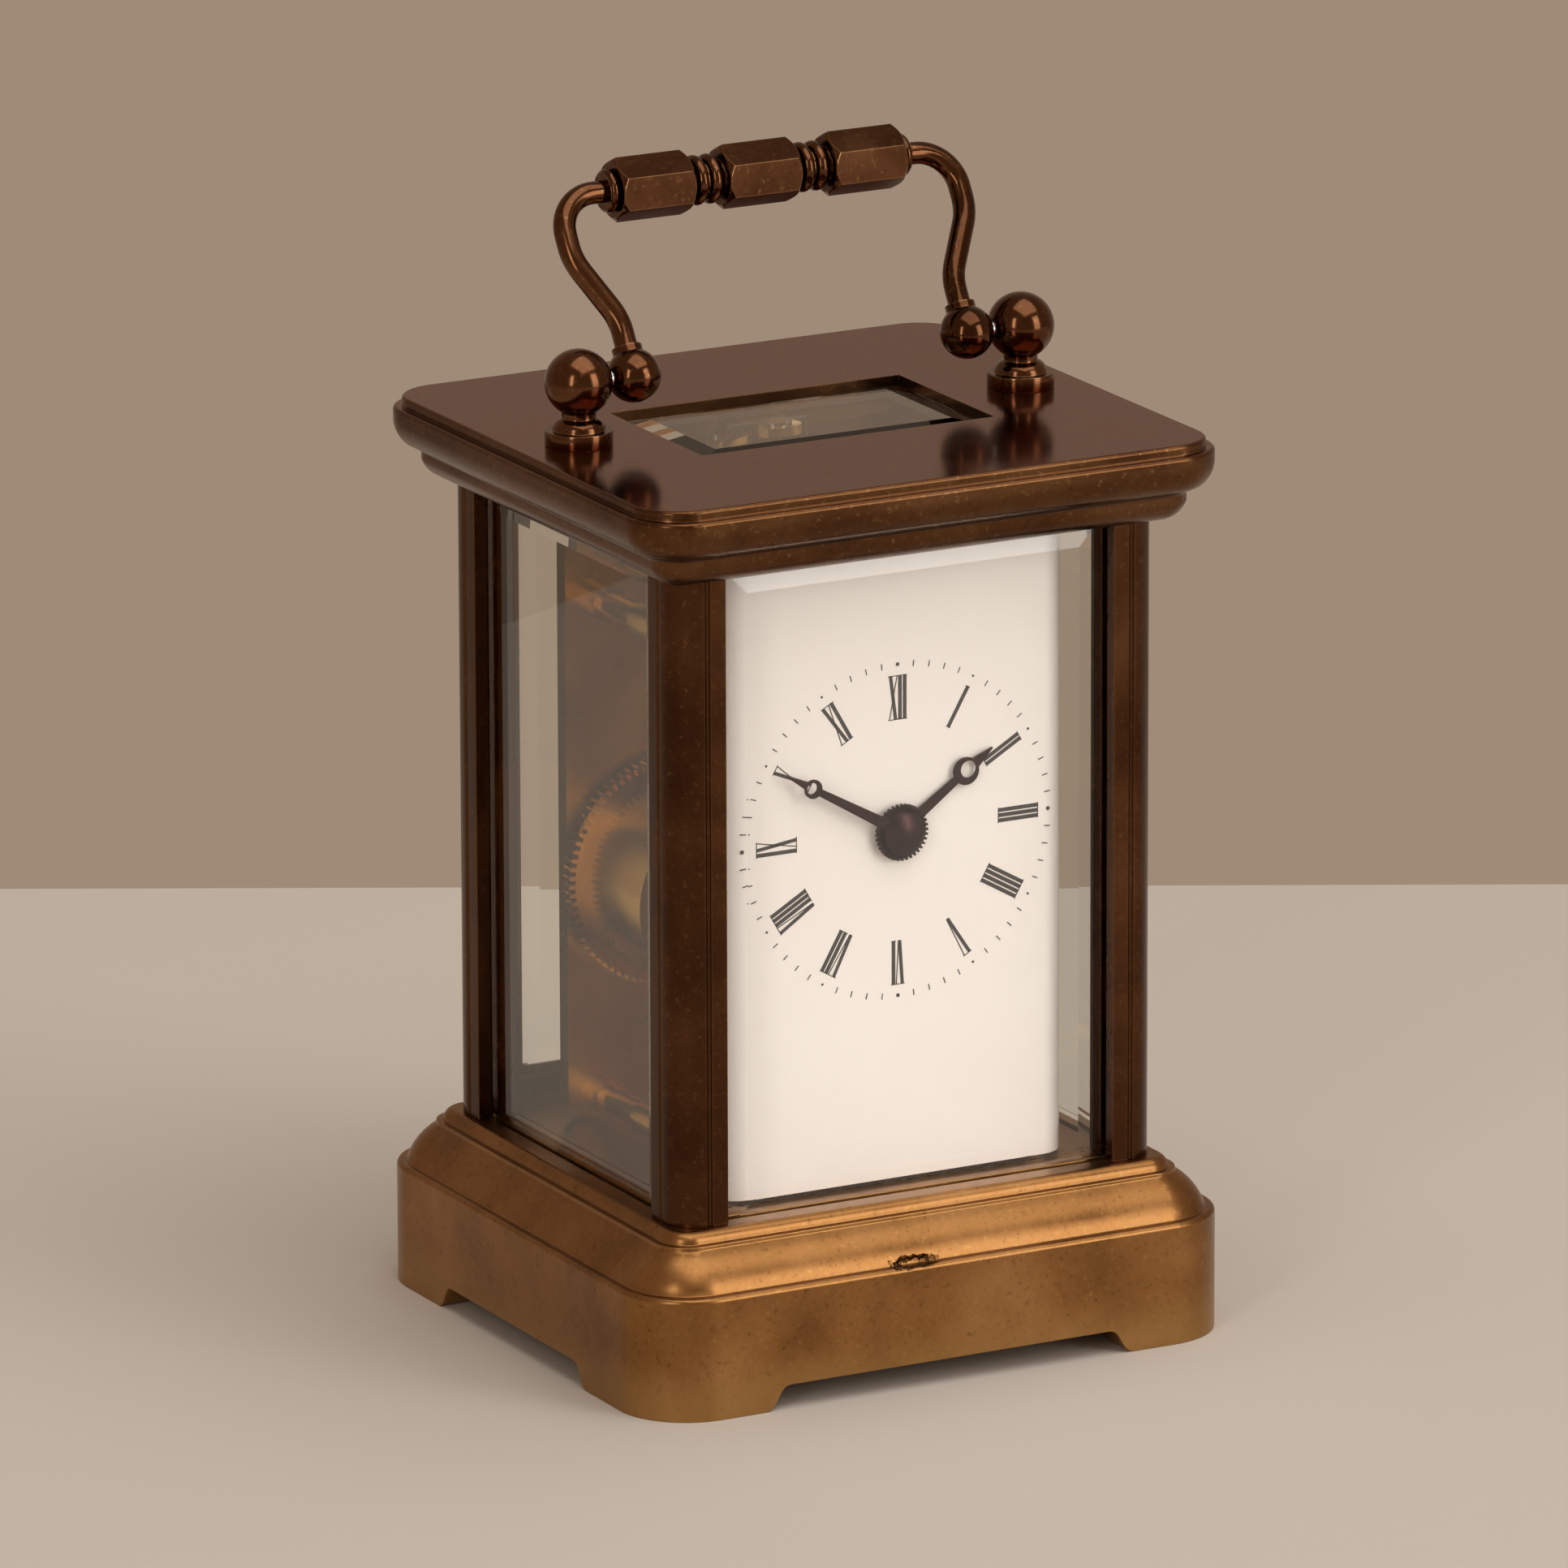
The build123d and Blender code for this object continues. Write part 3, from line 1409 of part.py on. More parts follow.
def cannon_pinion():
    """Tube on the front of the centre arbor that carries the minute hand."""
    x, z = centre
    leaf = Rot(0, 0, minute_bearing) * pinion_outline(cannon_leaves, cannon_module, leaf_share)
    body = slab(leaf, x, z, cannon_front, cannon_back)
    shoulder = minute_hand_back + end_shake
    body = body + disc(cannon_radius, x, z, shoulder, cannon_back)
    square = Rectangle(cannon_square, cannon_square)
    body = body + slab(Rot(0, 0, -minute_angle) * square, x, z, minute_hand_front, shoulder)
    return body - disc(centre_journal + thread_fit, x, z, minute_hand_back, cannon_back)


def minute_wheel():
    """Intermediate wheel and pinion that turn on a stud in the front plate."""
    x, z = minute_at
    turn = Rot(0, 0, minute_bearing + 180)
    wheel = turn * wheel_outline(minute_teeth, cannon_module, cannon_leaves)
    body = slab(wheel, x, z, minute_wheel_front, minute_wheel_back)
    leaf = turn * pinion_outline(minute_leaves, hour_module, leaf_share)
    pinion_end = minute_wheel_front - minute_leaf_length
    body = body + slab(leaf, x, z, pinion_end, minute_wheel_front)
    return body - disc(stud_radius + pivot_fit, x, z, pinion_end, minute_wheel_back)


def hour_wheel():
    """Hour wheel with the pipe that comes through the dial."""
    x, z = centre
    wheel = Rot(0, 0, minute_bearing) * wheel_outline(hour_teeth, hour_module, minute_leaves)
    body = slab(wheel, x, z, hour_wheel_front, hour_wheel_back)
    body = body + disc(hour_pipe_radius, x, z, hour_hand_front, hour_wheel_back)
    return body - disc(cannon_radius + running_fit, x, z, hour_hand_front, hour_wheel_back)


def third_arbor():
    return train_arbor(
        third_at, third_leaves, centre_module, third_bearing + 180,
        centre_wheel_front - pinion_overhang, centre_wheel_back + pinion_overhang,
    )


def third_wheel():
    return spoked_wheel(
        third_teeth, third_module, contrate_leaves, contrate_bearing, third_at,
        arbor_radius + thread_fit, third_wheel_front, third_wheel_front + wheel_thickness,
    )


def contrate_arbor():
    return train_arbor(
        contrate_at, contrate_leaves, third_module, contrate_bearing + 180,
        third_wheel_front - pinion_overhang, third_wheel_front + wheel_thickness + pinion_overhang,
    )


def contrate_wheel():
    """Crown wheel: its teeth stand forward from the rim and drive the upright pinion."""
    x, z = contrate_at
    outside = contrate_pitch + contrate_ring_outside
    inside = outside - contrate_ring
    plate = crossed_out(Circle(outside), hub_radius, inside, spoke_width)
    plate = plate - Circle(arbor_radius + thread_fit)
    body = slab(plate, x, z, contrate_front, contrate_back)
    tooth_tip = crown_pitch_plane - crown_addendum * escape_module
    body = body + slab(Circle(outside) - Circle(inside), x, z, tooth_tip, contrate_front)
    tooth_root = crown_pitch_plane + crown_dedendum * escape_module
    pitch = 2 * pi * contrate_pitch / contrate_teeth
    half_root = pitch * (1 - crown_tooth_share) / 2
    slope = pitch * (crown_tooth_share - crown_tip_share) / 2
    half_tip = half_root + slope
    slot = make_face(Polyline(
        (-half_root, tooth_root), (half_root, tooth_root), (half_root, crown_pitch_plane),
        (half_tip, tooth_tip), (-half_tip, tooth_tip), (-half_root, crown_pitch_plane), close=True,
    ))
    cut_start = inside - contrate_ring
    cutter = extrude(Pos(0, 0, cut_start) * slot, amount=outside + contrate_ring - cut_start)
    slots = [
        Pos(x, 0, z) * Rot(0, 360 * (index + 0.5) / contrate_teeth, 0) * cutter
        for index in range(contrate_teeth)
    ]
    return body - slots


def escape_arbor():
    """Upright arbor with the pinion that the crown wheel drives."""
    foot = plate_top - lower_cock_drop + lower_cock_foot
    body = post(upright_radius, 0, escape_line, foot + end_shake, bridge_bottom - end_shake)
    low = foot - jewel_depth
    body = body + post(upright_pivot, 0, escape_line, low, bridge_bottom + jewel_depth - end_shake)
    leaf = Rot(0, 0, 90) * pinion_outline(escape_leaves, escape_module, escape_leaf_share)
    mesh = plate_top - pinion_mesh_drop
    return body + upright(
        leaf, 0, escape_line, mesh - escape_leaf_length / 2, mesh + escape_leaf_length / 2
    )


def escape_wheel():
    """Escape wheel with fine undercut teeth."""
    points = []
    pitch = 360 / escape_teeth
    for index in range(escape_teeth):
        root = escape_radius - escape_tooth_depth
        tip = index + escape_tooth_lean
        points.append(polar(root, index * pitch))
        points.append(polar(escape_radius, tip * pitch))
        points.append(polar(escape_radius, (tip + escape_tooth_tip) * pitch))
        points.append(polar(root, tip * pitch))
    outline = make_face(Polyline(*points, close=True))
    inside = escape_radius - escape_tooth_depth - escape_rim
    outline = crossed_out(outline, escape_hub, inside, escape_spoke)
    outline = outline - Circle(upright_radius + thread_fit)
    bottom = platform_top + escape_lift
    return upright(outline, 0, escape_line, bottom, bottom + escape_thickness)


def platform_screw_places():
    front_y = (front_plate_front + front_plate_back) / 2
    back_y = (back_plate_front + back_plate_back) / 2
    places = [(x, y) for x in (-platform_screw_x, platform_screw_x) for y in (front_y, back_y)]
    return places + [(0, lower_cock_screw_y)]


def platform_plate():
    """Horizontal plate on top of the movement that carries the escapement."""
    middle = (front_plate_front + back_plate_back) / 2
    outline = RectangleRounded(platform_width, back_plate_back - front_plate_front, platform_corner)
    body = upright(outline, 0, middle, plate_top, platform_top)
    for x, y in platform_screw_places():
        body = body - post(small_screw_shank + screw_hole_fit, x, y, plate_top, platform_top)
    for x, y in escapement_screw_places():
        body = body - post(small_screw_shank + thread_fit, x, y, plate_top, platform_top)
    pinion_hole = escape_pinion_pitch + escape_module
    body = body - post(pinion_hole, 0, escape_line, plate_top, platform_top)
    for y in (pallet_line, balance_line):
        body = body - post(
            upright_pivot + pivot_fit, 0, y, platform_top - jewel_depth, platform_top
        )
    return body


def platform_screws():
    """Four screws into the edges of the plates and one into the lower cock."""
    reach = platform_thickness + small_screw_reach
    one = screw(small_screw_shank, small_screw_head, small_screw_head_height, reach)
    turned_over = Rot(180, 0, 0) * one
    return Compound(
        children=[Pos(x, y, platform_top) * turned_over for x, y in platform_screw_places()]
    )


def escape_lower_cock():
    """Bracket under the platform with the lower bearing of the escape arbor."""
    bottom = plate_top - lower_cock_drop
    arm = Rectangle(lower_cock_width, lower_cock_arm)
    body = upright(arm, 0, lower_cock_screw_y, bottom, plate_top)
    foot_length = lower_cock_face + lower_cock_back
    foot = Rectangle(lower_cock_width, foot_length)
    body = body + upright(
        foot, 0, lower_cock_front + foot_length / 2, bottom, bottom + lower_cock_foot
    )
    body = body - post(
        upright_pivot + pivot_fit, 0, escape_line, bottom, bottom + lower_cock_foot
    )
    depth = small_screw_reach + screw_hole_fit
    return body - post(
        small_screw_shank + thread_fit, 0, lower_cock_screw_y, plate_top - depth, plate_top
    )


def escapement_screw_places():
    leg_x = bridge_half_length - bridge_leg / 2
    cock_y = balance_line + cock_foot_gap + cock_foot_length - cock_step / 2
    return [
        (-leg_x, escape_line), (leg_x, escape_line),
        (-cock_screw_spread, cock_y), (cock_screw_spread, cock_y),
    ]


def escapement_screws():
    """Two screws through the legs of the bridge and two through the foot of the balance cock."""
    reach = bridge_top - plate_top - screw_hole_fit
    one = screw(small_screw_shank, small_screw_head, small_screw_head_height, reach)
    turned_over = Rot(180, 0, 0) * one
    return Compound(
        children=[Pos(x, y, bridge_top) * turned_over for x, y in escapement_screw_places()]
    )


def escapement_bridge():
    """Bridge over the escape wheel, with a tongue for the pallet arbor."""
    bar = Rectangle(2 * bridge_half_length, bridge_width)
    body = upright(bar, 0, escape_line, bridge_bottom, bridge_top)
    tongue_end = pallet_line + bridge_tongue / 2
    tongue = Rectangle(bridge_tongue, tongue_end - escape_line)
    body = body + upright(tongue, 0, (escape_line + tongue_end) / 2, bridge_bottom, bridge_top)
    for side in (-1, 1):
        leg_x = side * (bridge_half_length - bridge_leg / 2)
        leg = Rectangle(bridge_leg, bridge_width)
        body = body + upright(leg, leg_x, escape_line, platform_top, bridge_top)
        body = body - post(
            small_screw_shank + screw_hole_fit, leg_x, escape_line, platform_top, bridge_top
        )
    for y in (escape_line, pallet_line):
        body = body - post(upright_pivot + pivot_fit, 0, y, bridge_bottom, bridge_top)
    return body


def pallet_lever():
    """Lever with two pallets over the escape wheel and a fork under the roller."""
    outline = Circle(lever_hub)
    near = escape_radius + pallet_air
    for side in (-1, 1):
        bearing = 90 - side * pallet_spread
        stone = Rectangle(pallet_length, pallet_width, align=(Align.MIN, Align.CENTER))
        stone = Pos(0, -escape_to_pallet) * Rot(0, 0, bearing) * Pos(near, 0) * stone
        outline = outline + stone
        far_x, far_y = polar(near + pallet_length / 2, bearing)
        end = Vector(far_x, far_y - escape_to_pallet)
        arm = Rectangle(end.length, pallet_arm, align=(Align.MIN, Align.CENTER))
        outline = outline + Rot(0, 0, degrees(atan2(end.Y, end.X))) * arm
    fork_end = pallet_to_balance - impulse_pin_circle - impulse_pin_radius - fork_air
    shank = Rectangle(lever_shank, fork_end - fork_depth, align=(Align.CENTER, Align.MIN))
    outline = outline + shank
    fork = Rectangle(2 * fork_half_width, fork_depth + lever_shank, align=(Align.CENTER, Align.MAX))
    outline = outline + Pos(0, fork_end) * fork
    slot = Rectangle(fork_slot, fork_depth, align=(Align.CENTER, Align.MAX))
    outline = outline - Pos(0, fork_end) * slot
    bottom = platform_top + escape_lift
    body = upright(outline, 0, pallet_line, bottom, bottom + escape_thickness)
    body = body + post(
        upright_radius, 0, pallet_line, platform_top + end_shake, bridge_bottom - end_shake
    )
    return body + post(
        upright_pivot, 0, pallet_line, platform_top - jewel_depth + end_shake,
        bridge_bottom + jewel_depth - end_shake,
    )


def balance_wheel():
    """Balance: rim, one straight arm and timing screws round the rim."""
    outline = Circle(balance_radius) - Circle(balance_radius - balance_rim)
    outline = outline + Rectangle(2 * balance_radius - balance_rim, balance_arm)
    outline = outline + Circle(balance_hub)
    outline = outline - Circle(staff_radius + thread_fit)
    bottom = platform_top + balance_lift
    body = upright(outline, 0, balance_line, bottom, bottom + balance_thickness)
    start = balance_radius - balance_rim / 2
    length = balance_rim / 2 + timing_screw_length
    blank = extrude(Plane.YZ * Circle(timing_screw_radius), amount=length)
    for index in range(timing_screws):
        turn = Rot(0, 0, 360 * (index + 0.5) / timing_screws)
        middle = Pos(0, balance_line, bottom + balance_thickness / 2)
        body = body + middle * turn * Pos(start, 0, 0) * blank
    return body


def balance_staff():
    """Staff with the roller and its impulse pin."""
    body = post(staff_radius, 0, balance_line, platform_top + end_shake, cock_bottom - end_shake)
    body = body + post(
        upright_pivot, 0, balance_line, platform_top - jewel_depth + end_shake,
        cock_bottom + jewel_depth - end_shake,
    )
    lever_top = platform_top + escape_lift + escape_thickness
    roller_bottom = lever_top + hairspring_air
    body = body + post(
        roller_radius, 0, balance_line, roller_bottom, roller_bottom + roller_thickness
    )
    pin_y = balance_line - impulse_pin_circle
    return body + post(
        impulse_pin_radius, 0, pin_y, platform_top + escape_lift, roller_bottom + roller_thickness
    )


def hairspring():
    """Flat spiral spring between the balance and its cock, with its collet and stud."""
    strip = spiral_strip(hairspring_inner, hairspring_outer, hairspring_turns, hairspring_thickness)
    bottom = platform_top + balance_lift + balance_thickness + hairspring_air
    top = bottom + hairspring_height
    body = upright(strip, 0, balance_line, bottom, top)
    collet = Circle(hairspring_inner) - Circle(staff_radius + thread_fit)
    return body + upright(collet, 0, balance_line, bottom, top)


def balance_cock():
    """Cock that carries the upper pivot of the balance, on a stepped foot at the back."""
    front_y = balance_line - cock_reach
    foot_front = balance_line + cock_foot_gap
    foot_back = foot_front + cock_foot_length
    arm_back = foot_back - cock_step
    arm = Rectangle(cock_width, arm_back - front_y)
    arm = fillet(arm.vertices().sort_by(Axis.Y)[:2], cock_nose_round)
    body = upright(arm, 0, (front_y + arm_back) / 2, cock_bottom, cock_top)
    riser_block = Rectangle(cock_width, arm_back - foot_front)
    body = body + upright(riser_block, 0, (foot_front + arm_back) / 2, platform_top, cock_top)
    foot = Rectangle(cock_width, foot_back - foot_front)
    body = body + upright(foot, 0, (foot_front + foot_back) / 2, platform_top, bridge_top)
    for x, y in escapement_screw_places()[2:]:
        body = body - post(small_screw_shank + screw_hole_fit, x, y, platform_top, bridge_top)
    body = body + post(index_boss, 0, balance_line, cock_top, cock_top + index_thickness)
    return body - post(
        upright_pivot + pivot_fit, 0, balance_line, cock_bottom, cock_bottom + jewel_depth
    )


def regulator_index():
    """Index that turns about the upper jewel: a long pointer and two curb pins."""
    outline = Circle(index_ring) - Circle(index_hole)
    pointer = make_face(Polyline(
        (-index_hole, index_arm), (-index_length, index_point),
        (-index_length, -index_point), (-index_hole, -index_arm), close=True,
    ))
    reach = hairspring_outer + 2 * curb_pin_radius + 2 * curb_pin_gap
    short_arm = Rectangle(reach - index_hole, index_arm, align=(Align.MIN, Align.CENTER))
    outline = outline + pointer + Pos(index_hole, 0) * short_arm - Circle(index_hole)
    body = upright(outline, 0, balance_line, cock_top, cock_top + index_thickness)
    pin_bottom = platform_top + balance_lift + balance_thickness + hairspring_air
    offset = hairspring_thickness / 2 + curb_pin_gap + curb_pin_radius
    for x in (hairspring_outer - offset, hairspring_outer + offset):
        body = body + post(curb_pin_radius, x, balance_line, pin_bottom, cock_top)
    return body


PIECES = {
    "base_plinth": base_plinth,
    "bottom_plate": bottom_plate,
    "bottom_plate_screws": bottom_plate_screws,
    "case_screws": case_screws,
    "cornice": cornice,
    "front_glass": front_glass,
    "left_glass": lambda: side_glass(-1),
    "right_glass": lambda: side_glass(1),
    "top_glass": top_glass,
    "top_glass_clips": top_glass_clips,
    "pillar_front_left": lambda: pillar(True),
    "pillar_front_right": lambda: mirror(pillar(True), about=Plane.YZ),
    "pillar_rear_left": lambda: mirror(pillar(False), about=Plane.XZ),
    "pillar_rear_right": lambda: mirror(mirror(pillar(False), about=Plane.XZ), about=Plane.YZ),
    "handle_posts": handle_posts,
    "handle_pivot_pins": handle_pivot_pins,
    "handle_grip": handle_grip,
    "handle_arm_left": lambda: handle_arm(-1),
    "handle_arm_right": lambda: handle_arm(1),
    "door_frame": door_frame,
    "door_glass": door_glass,
    "door_knob": door_knob,
    "door_hinge_pins": door_hinge_pins,
    "dial": dial,
    "hour_hand": hour_hand,
    "minute_hand": minute_hand,
    "front_plate": front_plate,
    "back_plate": back_plate,
    "plate_pillars": plate_pillars,
    "plate_screws": plate_screws,
    "barrel_drum": barrel_drum,
    "barrel_cap": barrel_cap,
    "mainspring": mainspring,
    "barrel_arbor": barrel_arbor,
    "ratchet_wheel": ratchet_wheel,
    "click": click,
    "click_screw": click_screw,
    "click_spring": click_spring,
    "centre_arbor": centre_arbor,
    "centre_wheel": centre_wheel,
    "cannon_pinion": cannon_pinion,
    "minute_wheel": minute_wheel,
    "hour_wheel": hour_wheel,
    "third_arbor": third_arbor,
    "third_wheel": third_wheel,
    "contrate_arbor": contrate_arbor,
    "contrate_wheel": contrate_wheel,
    "escape_arbor": escape_arbor,
    "escape_wheel": escape_wheel,
    "platform_plate": platform_plate,
    "platform_screws": platform_screws,
    "escape_lower_cock": escape_lower_cock,
    "escapement_bridge": escapement_bridge,
    "escapement_screws": escapement_screws,
    "pallet_lever": pallet_lever,
    "balance_wheel": balance_wheel,
    "balance_staff": balance_staff,
    "hairspring": hairspring,
    "balance_cock": balance_cock,
    "regulator_index": regulator_index,
}

for name, build in PIECES.items():
    save(build(), name)
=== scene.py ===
from math import cos, pi, radians, sin

import bmesh
import bpy
from mathutils import Matrix, Vector


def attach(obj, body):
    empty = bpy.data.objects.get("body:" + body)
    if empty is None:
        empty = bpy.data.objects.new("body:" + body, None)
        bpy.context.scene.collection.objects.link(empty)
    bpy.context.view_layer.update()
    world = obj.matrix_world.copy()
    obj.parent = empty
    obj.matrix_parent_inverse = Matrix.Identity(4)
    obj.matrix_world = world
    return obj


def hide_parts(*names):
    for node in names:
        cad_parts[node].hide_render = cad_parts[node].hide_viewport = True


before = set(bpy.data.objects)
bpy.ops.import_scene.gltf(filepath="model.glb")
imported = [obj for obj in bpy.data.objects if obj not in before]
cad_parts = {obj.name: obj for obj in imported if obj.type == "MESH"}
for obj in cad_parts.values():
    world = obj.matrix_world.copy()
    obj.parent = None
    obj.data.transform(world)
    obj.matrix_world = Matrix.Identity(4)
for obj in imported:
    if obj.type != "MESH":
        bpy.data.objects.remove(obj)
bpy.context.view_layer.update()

# Everything below is in metres. A size that is written as 0.6 * mm is 0.6 millimetres on the real clock.
mm = 0.001

# Camera. It stands to the left of the dial and above the top plate, far enough away that upright lines stay almost
# parallel, as in the photograph. The three axes are its right, up and backward directions.
camera_place = Vector((-572.047, -1066.825, 379.572)) * mm
camera_right = Vector((0.8815073, -0.4721606, -0.0030459))
camera_up = Vector((0.1280769, 0.2328961, 0.9640310))
camera_data = bpy.data.cameras.new("camera")
camera_data.sensor_width = 36.0
camera_data.lens = 340.05
camera_data.clip_start = 0.05
camera_data.clip_end = 20.0
camera = bpy.data.objects.new("camera", camera_data)
bpy.context.scene.collection.objects.link(camera)
camera.matrix_world = Matrix.Translation(camera_place) @ Matrix(
    (camera_right, camera_up, camera_right.cross(camera_up))).transposed().to_4x4()
bpy.context.scene.camera = camera
bpy.context.scene.view_settings.view_transform = "Standard"


# Studio. A pale card covers the table that the clock stands on, and a plain warm-grey wall stands all round. A tall
# soft lamp at the right front lights the dial and the mouldings, a narrow one at the left front draws a second
# highlight on every ball and neck, and a wide lamp hangs above the front of the table.
def linear(hex_colour):
    channels = [int(hex_colour[i:i + 2], 16) / 255 for i in (1, 3, 5)]
    return tuple(c / 12.92 if c <= 0.04045 else ((c + 0.055) / 1.055) ** 2.4 for c in channels) + (1.0,)


# Adds one shader node. Settings are the node's own properties, values its unlinked inputs, and links its inputs
# that another socket drives.
def add(tree, kind, settings=None, values=None, links=None):
    made = tree.nodes.new(kind)
    for key, value in (settings or {}).items():
        setattr(made, key, value)
    for key, value in (values or {}).items():
        made.inputs[key].default_value = value
    for key, socket in (links or {}).items():
        tree.links.new(socket, made.inputs[key])
    return made


def new_material(name):
    material = bpy.data.materials.new(name)
    material.use_nodes = True
    material.node_tree.nodes.clear()
    return material, material.node_tree


table_half_width = 0.9
table_front = 1.0
table_back = 0.13
table_mesh = bpy.data.meshes.new("table_card")
across = Vector((camera_right.x, camera_right.y, 0)).normalized()
away = Vector((-across.y, across.x, 0))
table_mesh.from_pydata(
    [across * x + away * y for x, y in (
        (-table_half_width, -table_front), (table_half_width, -table_front), (table_half_width, table_back),
        (-table_half_width, table_back))], [], [(0, 1, 2, 3)])
table = bpy.data.objects.new("table_card", table_mesh)
bpy.context.scene.collection.objects.link(table)
# Card: matt, with a soft fibre grain about a millimetre across.
matt_card, tree = new_material("matt_card")
place = add(tree, "ShaderNodeTexCoord").outputs["Object"]
fibre = add(tree, "ShaderNodeTexNoise", values={"Scale": 900.0, "Detail": 4.0}, links={"Vector": place})
fibre_bump = add(tree, "ShaderNodeBump", values={"Strength": 0.08, "Distance": 0.1 * mm}, links={
    "Height": fibre.outputs["Fac"]})
card = add(tree, "ShaderNodeBsdfPrincipled", values={"Base Color": linear("#cbc3b9"), "Roughness": 0.85}, links={
    "Normal": fibre_bump.outputs["Normal"]})
add(tree, "ShaderNodeOutputMaterial", links={"Surface": card.outputs["BSDF"]})
table_mesh.materials.append(matt_card)

studio = bpy.data.worlds.new("studio")
bpy.context.scene.world = studio
studio.use_nodes = True
tree = studio.node_tree
tree.nodes.clear()
wall = add(tree, "ShaderNodeBackground", values={"Color": linear("#9f8b78"), "Strength": 1.0})
add(tree, "ShaderNodeOutputWorld", links={"Surface": wall.outputs[0]})

lamp_target = Vector((0, 0, 50)) * mm
for lamp_name, lamp_place, lamp_wide, lamp_high, lamp_watts in (
        ("lamp_left_front", (-0.80, -0.62, 0.42), 0.16, 0.60, 1.7),
        ("lamp_right_front", (0.55, -0.92, 0.33), 0.40, 0.80, 4.1),
        ("lamp_above", (0.15, -0.35, 1.30), 1.30, 1.30, 10.6)):
    lamp_data = bpy.data.lights.new(lamp_name, "AREA")
    lamp_data.shape = "RECTANGLE"
    lamp_data.size = lamp_wide
    lamp_data.size_y = lamp_high
    lamp_data.energy = lamp_watts
    lamp_data.color = linear("#ffffff")[:3]
    lamp = bpy.data.objects.new(lamp_name, lamp_data)
    bpy.context.scene.collection.objects.link(lamp)
    lamp.location = lamp_place
    lamp.rotation_euler = (lamp_target - Vector(lamp_place)).to_track_quat("-Z", "Y").to_euler()


# Base: a cast brass moulding, hollow below, with four feet left by low arches. It is machined, polished and bronzed
# brown. Handling has brought the yellow brass back along the foot edges, and years have left fine dark specks.

# Corners closer than this are one corner, and faces that lean less than this from each other are one face.
weld_distance = 0.002 * mm
flat_angle = radians(0.6)
sharp_angle = radians(30)


# Takes a copy of an imported piece, joins its loose triangles, breaks its sharp edges by the given width as the
# maker's file does, and shades curved faces smoothly while large flat faces stay flat. The new piece stands for the
# imported one, which is hidden.
def finished(node, body, material, arris, limited=True):
    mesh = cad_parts[node].data.copy()
    shape = bmesh.new()
    shape.from_mesh(mesh)
    bmesh.ops.remove_doubles(shape, verts=shape.verts, dist=weld_distance)
    bmesh.ops.dissolve_limit(shape, angle_limit=flat_angle, verts=shape.verts, edges=shape.edges)
    shape.to_mesh(mesh)
    shape.free()
    mesh.shade_smooth()
    raw = bpy.data.objects.new(node + "_raw", mesh)
    bpy.context.scene.collection.objects.link(raw)
    rounding = raw.modifiers.new("broken_edges", "BEVEL")
    rounding.width = arris
    rounding.segments = 2
    rounding.limit_method = "ANGLE"
    rounding.angle_limit = sharp_angle
    rounding.use_clamp_overlap = limited
    flat_faces = raw.modifiers.new("flat_faces_stay_flat", "WEIGHTED_NORMAL")
    flat_faces.mode = "FACE_AREA"
    flat_faces.weight = 90
    flat_faces.keep_sharp = True
    made = bpy.data.meshes.new_from_object(raw.evaluated_get(bpy.context.evaluated_depsgraph_get()))
    bpy.data.objects.remove(raw)
    made.materials.clear()
    made.materials.append(material)
    piece = bpy.data.objects.new(node + "_finished", made)
    bpy.context.scene.collection.objects.link(piece)
    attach(piece, body)
    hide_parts(node)
    return piece
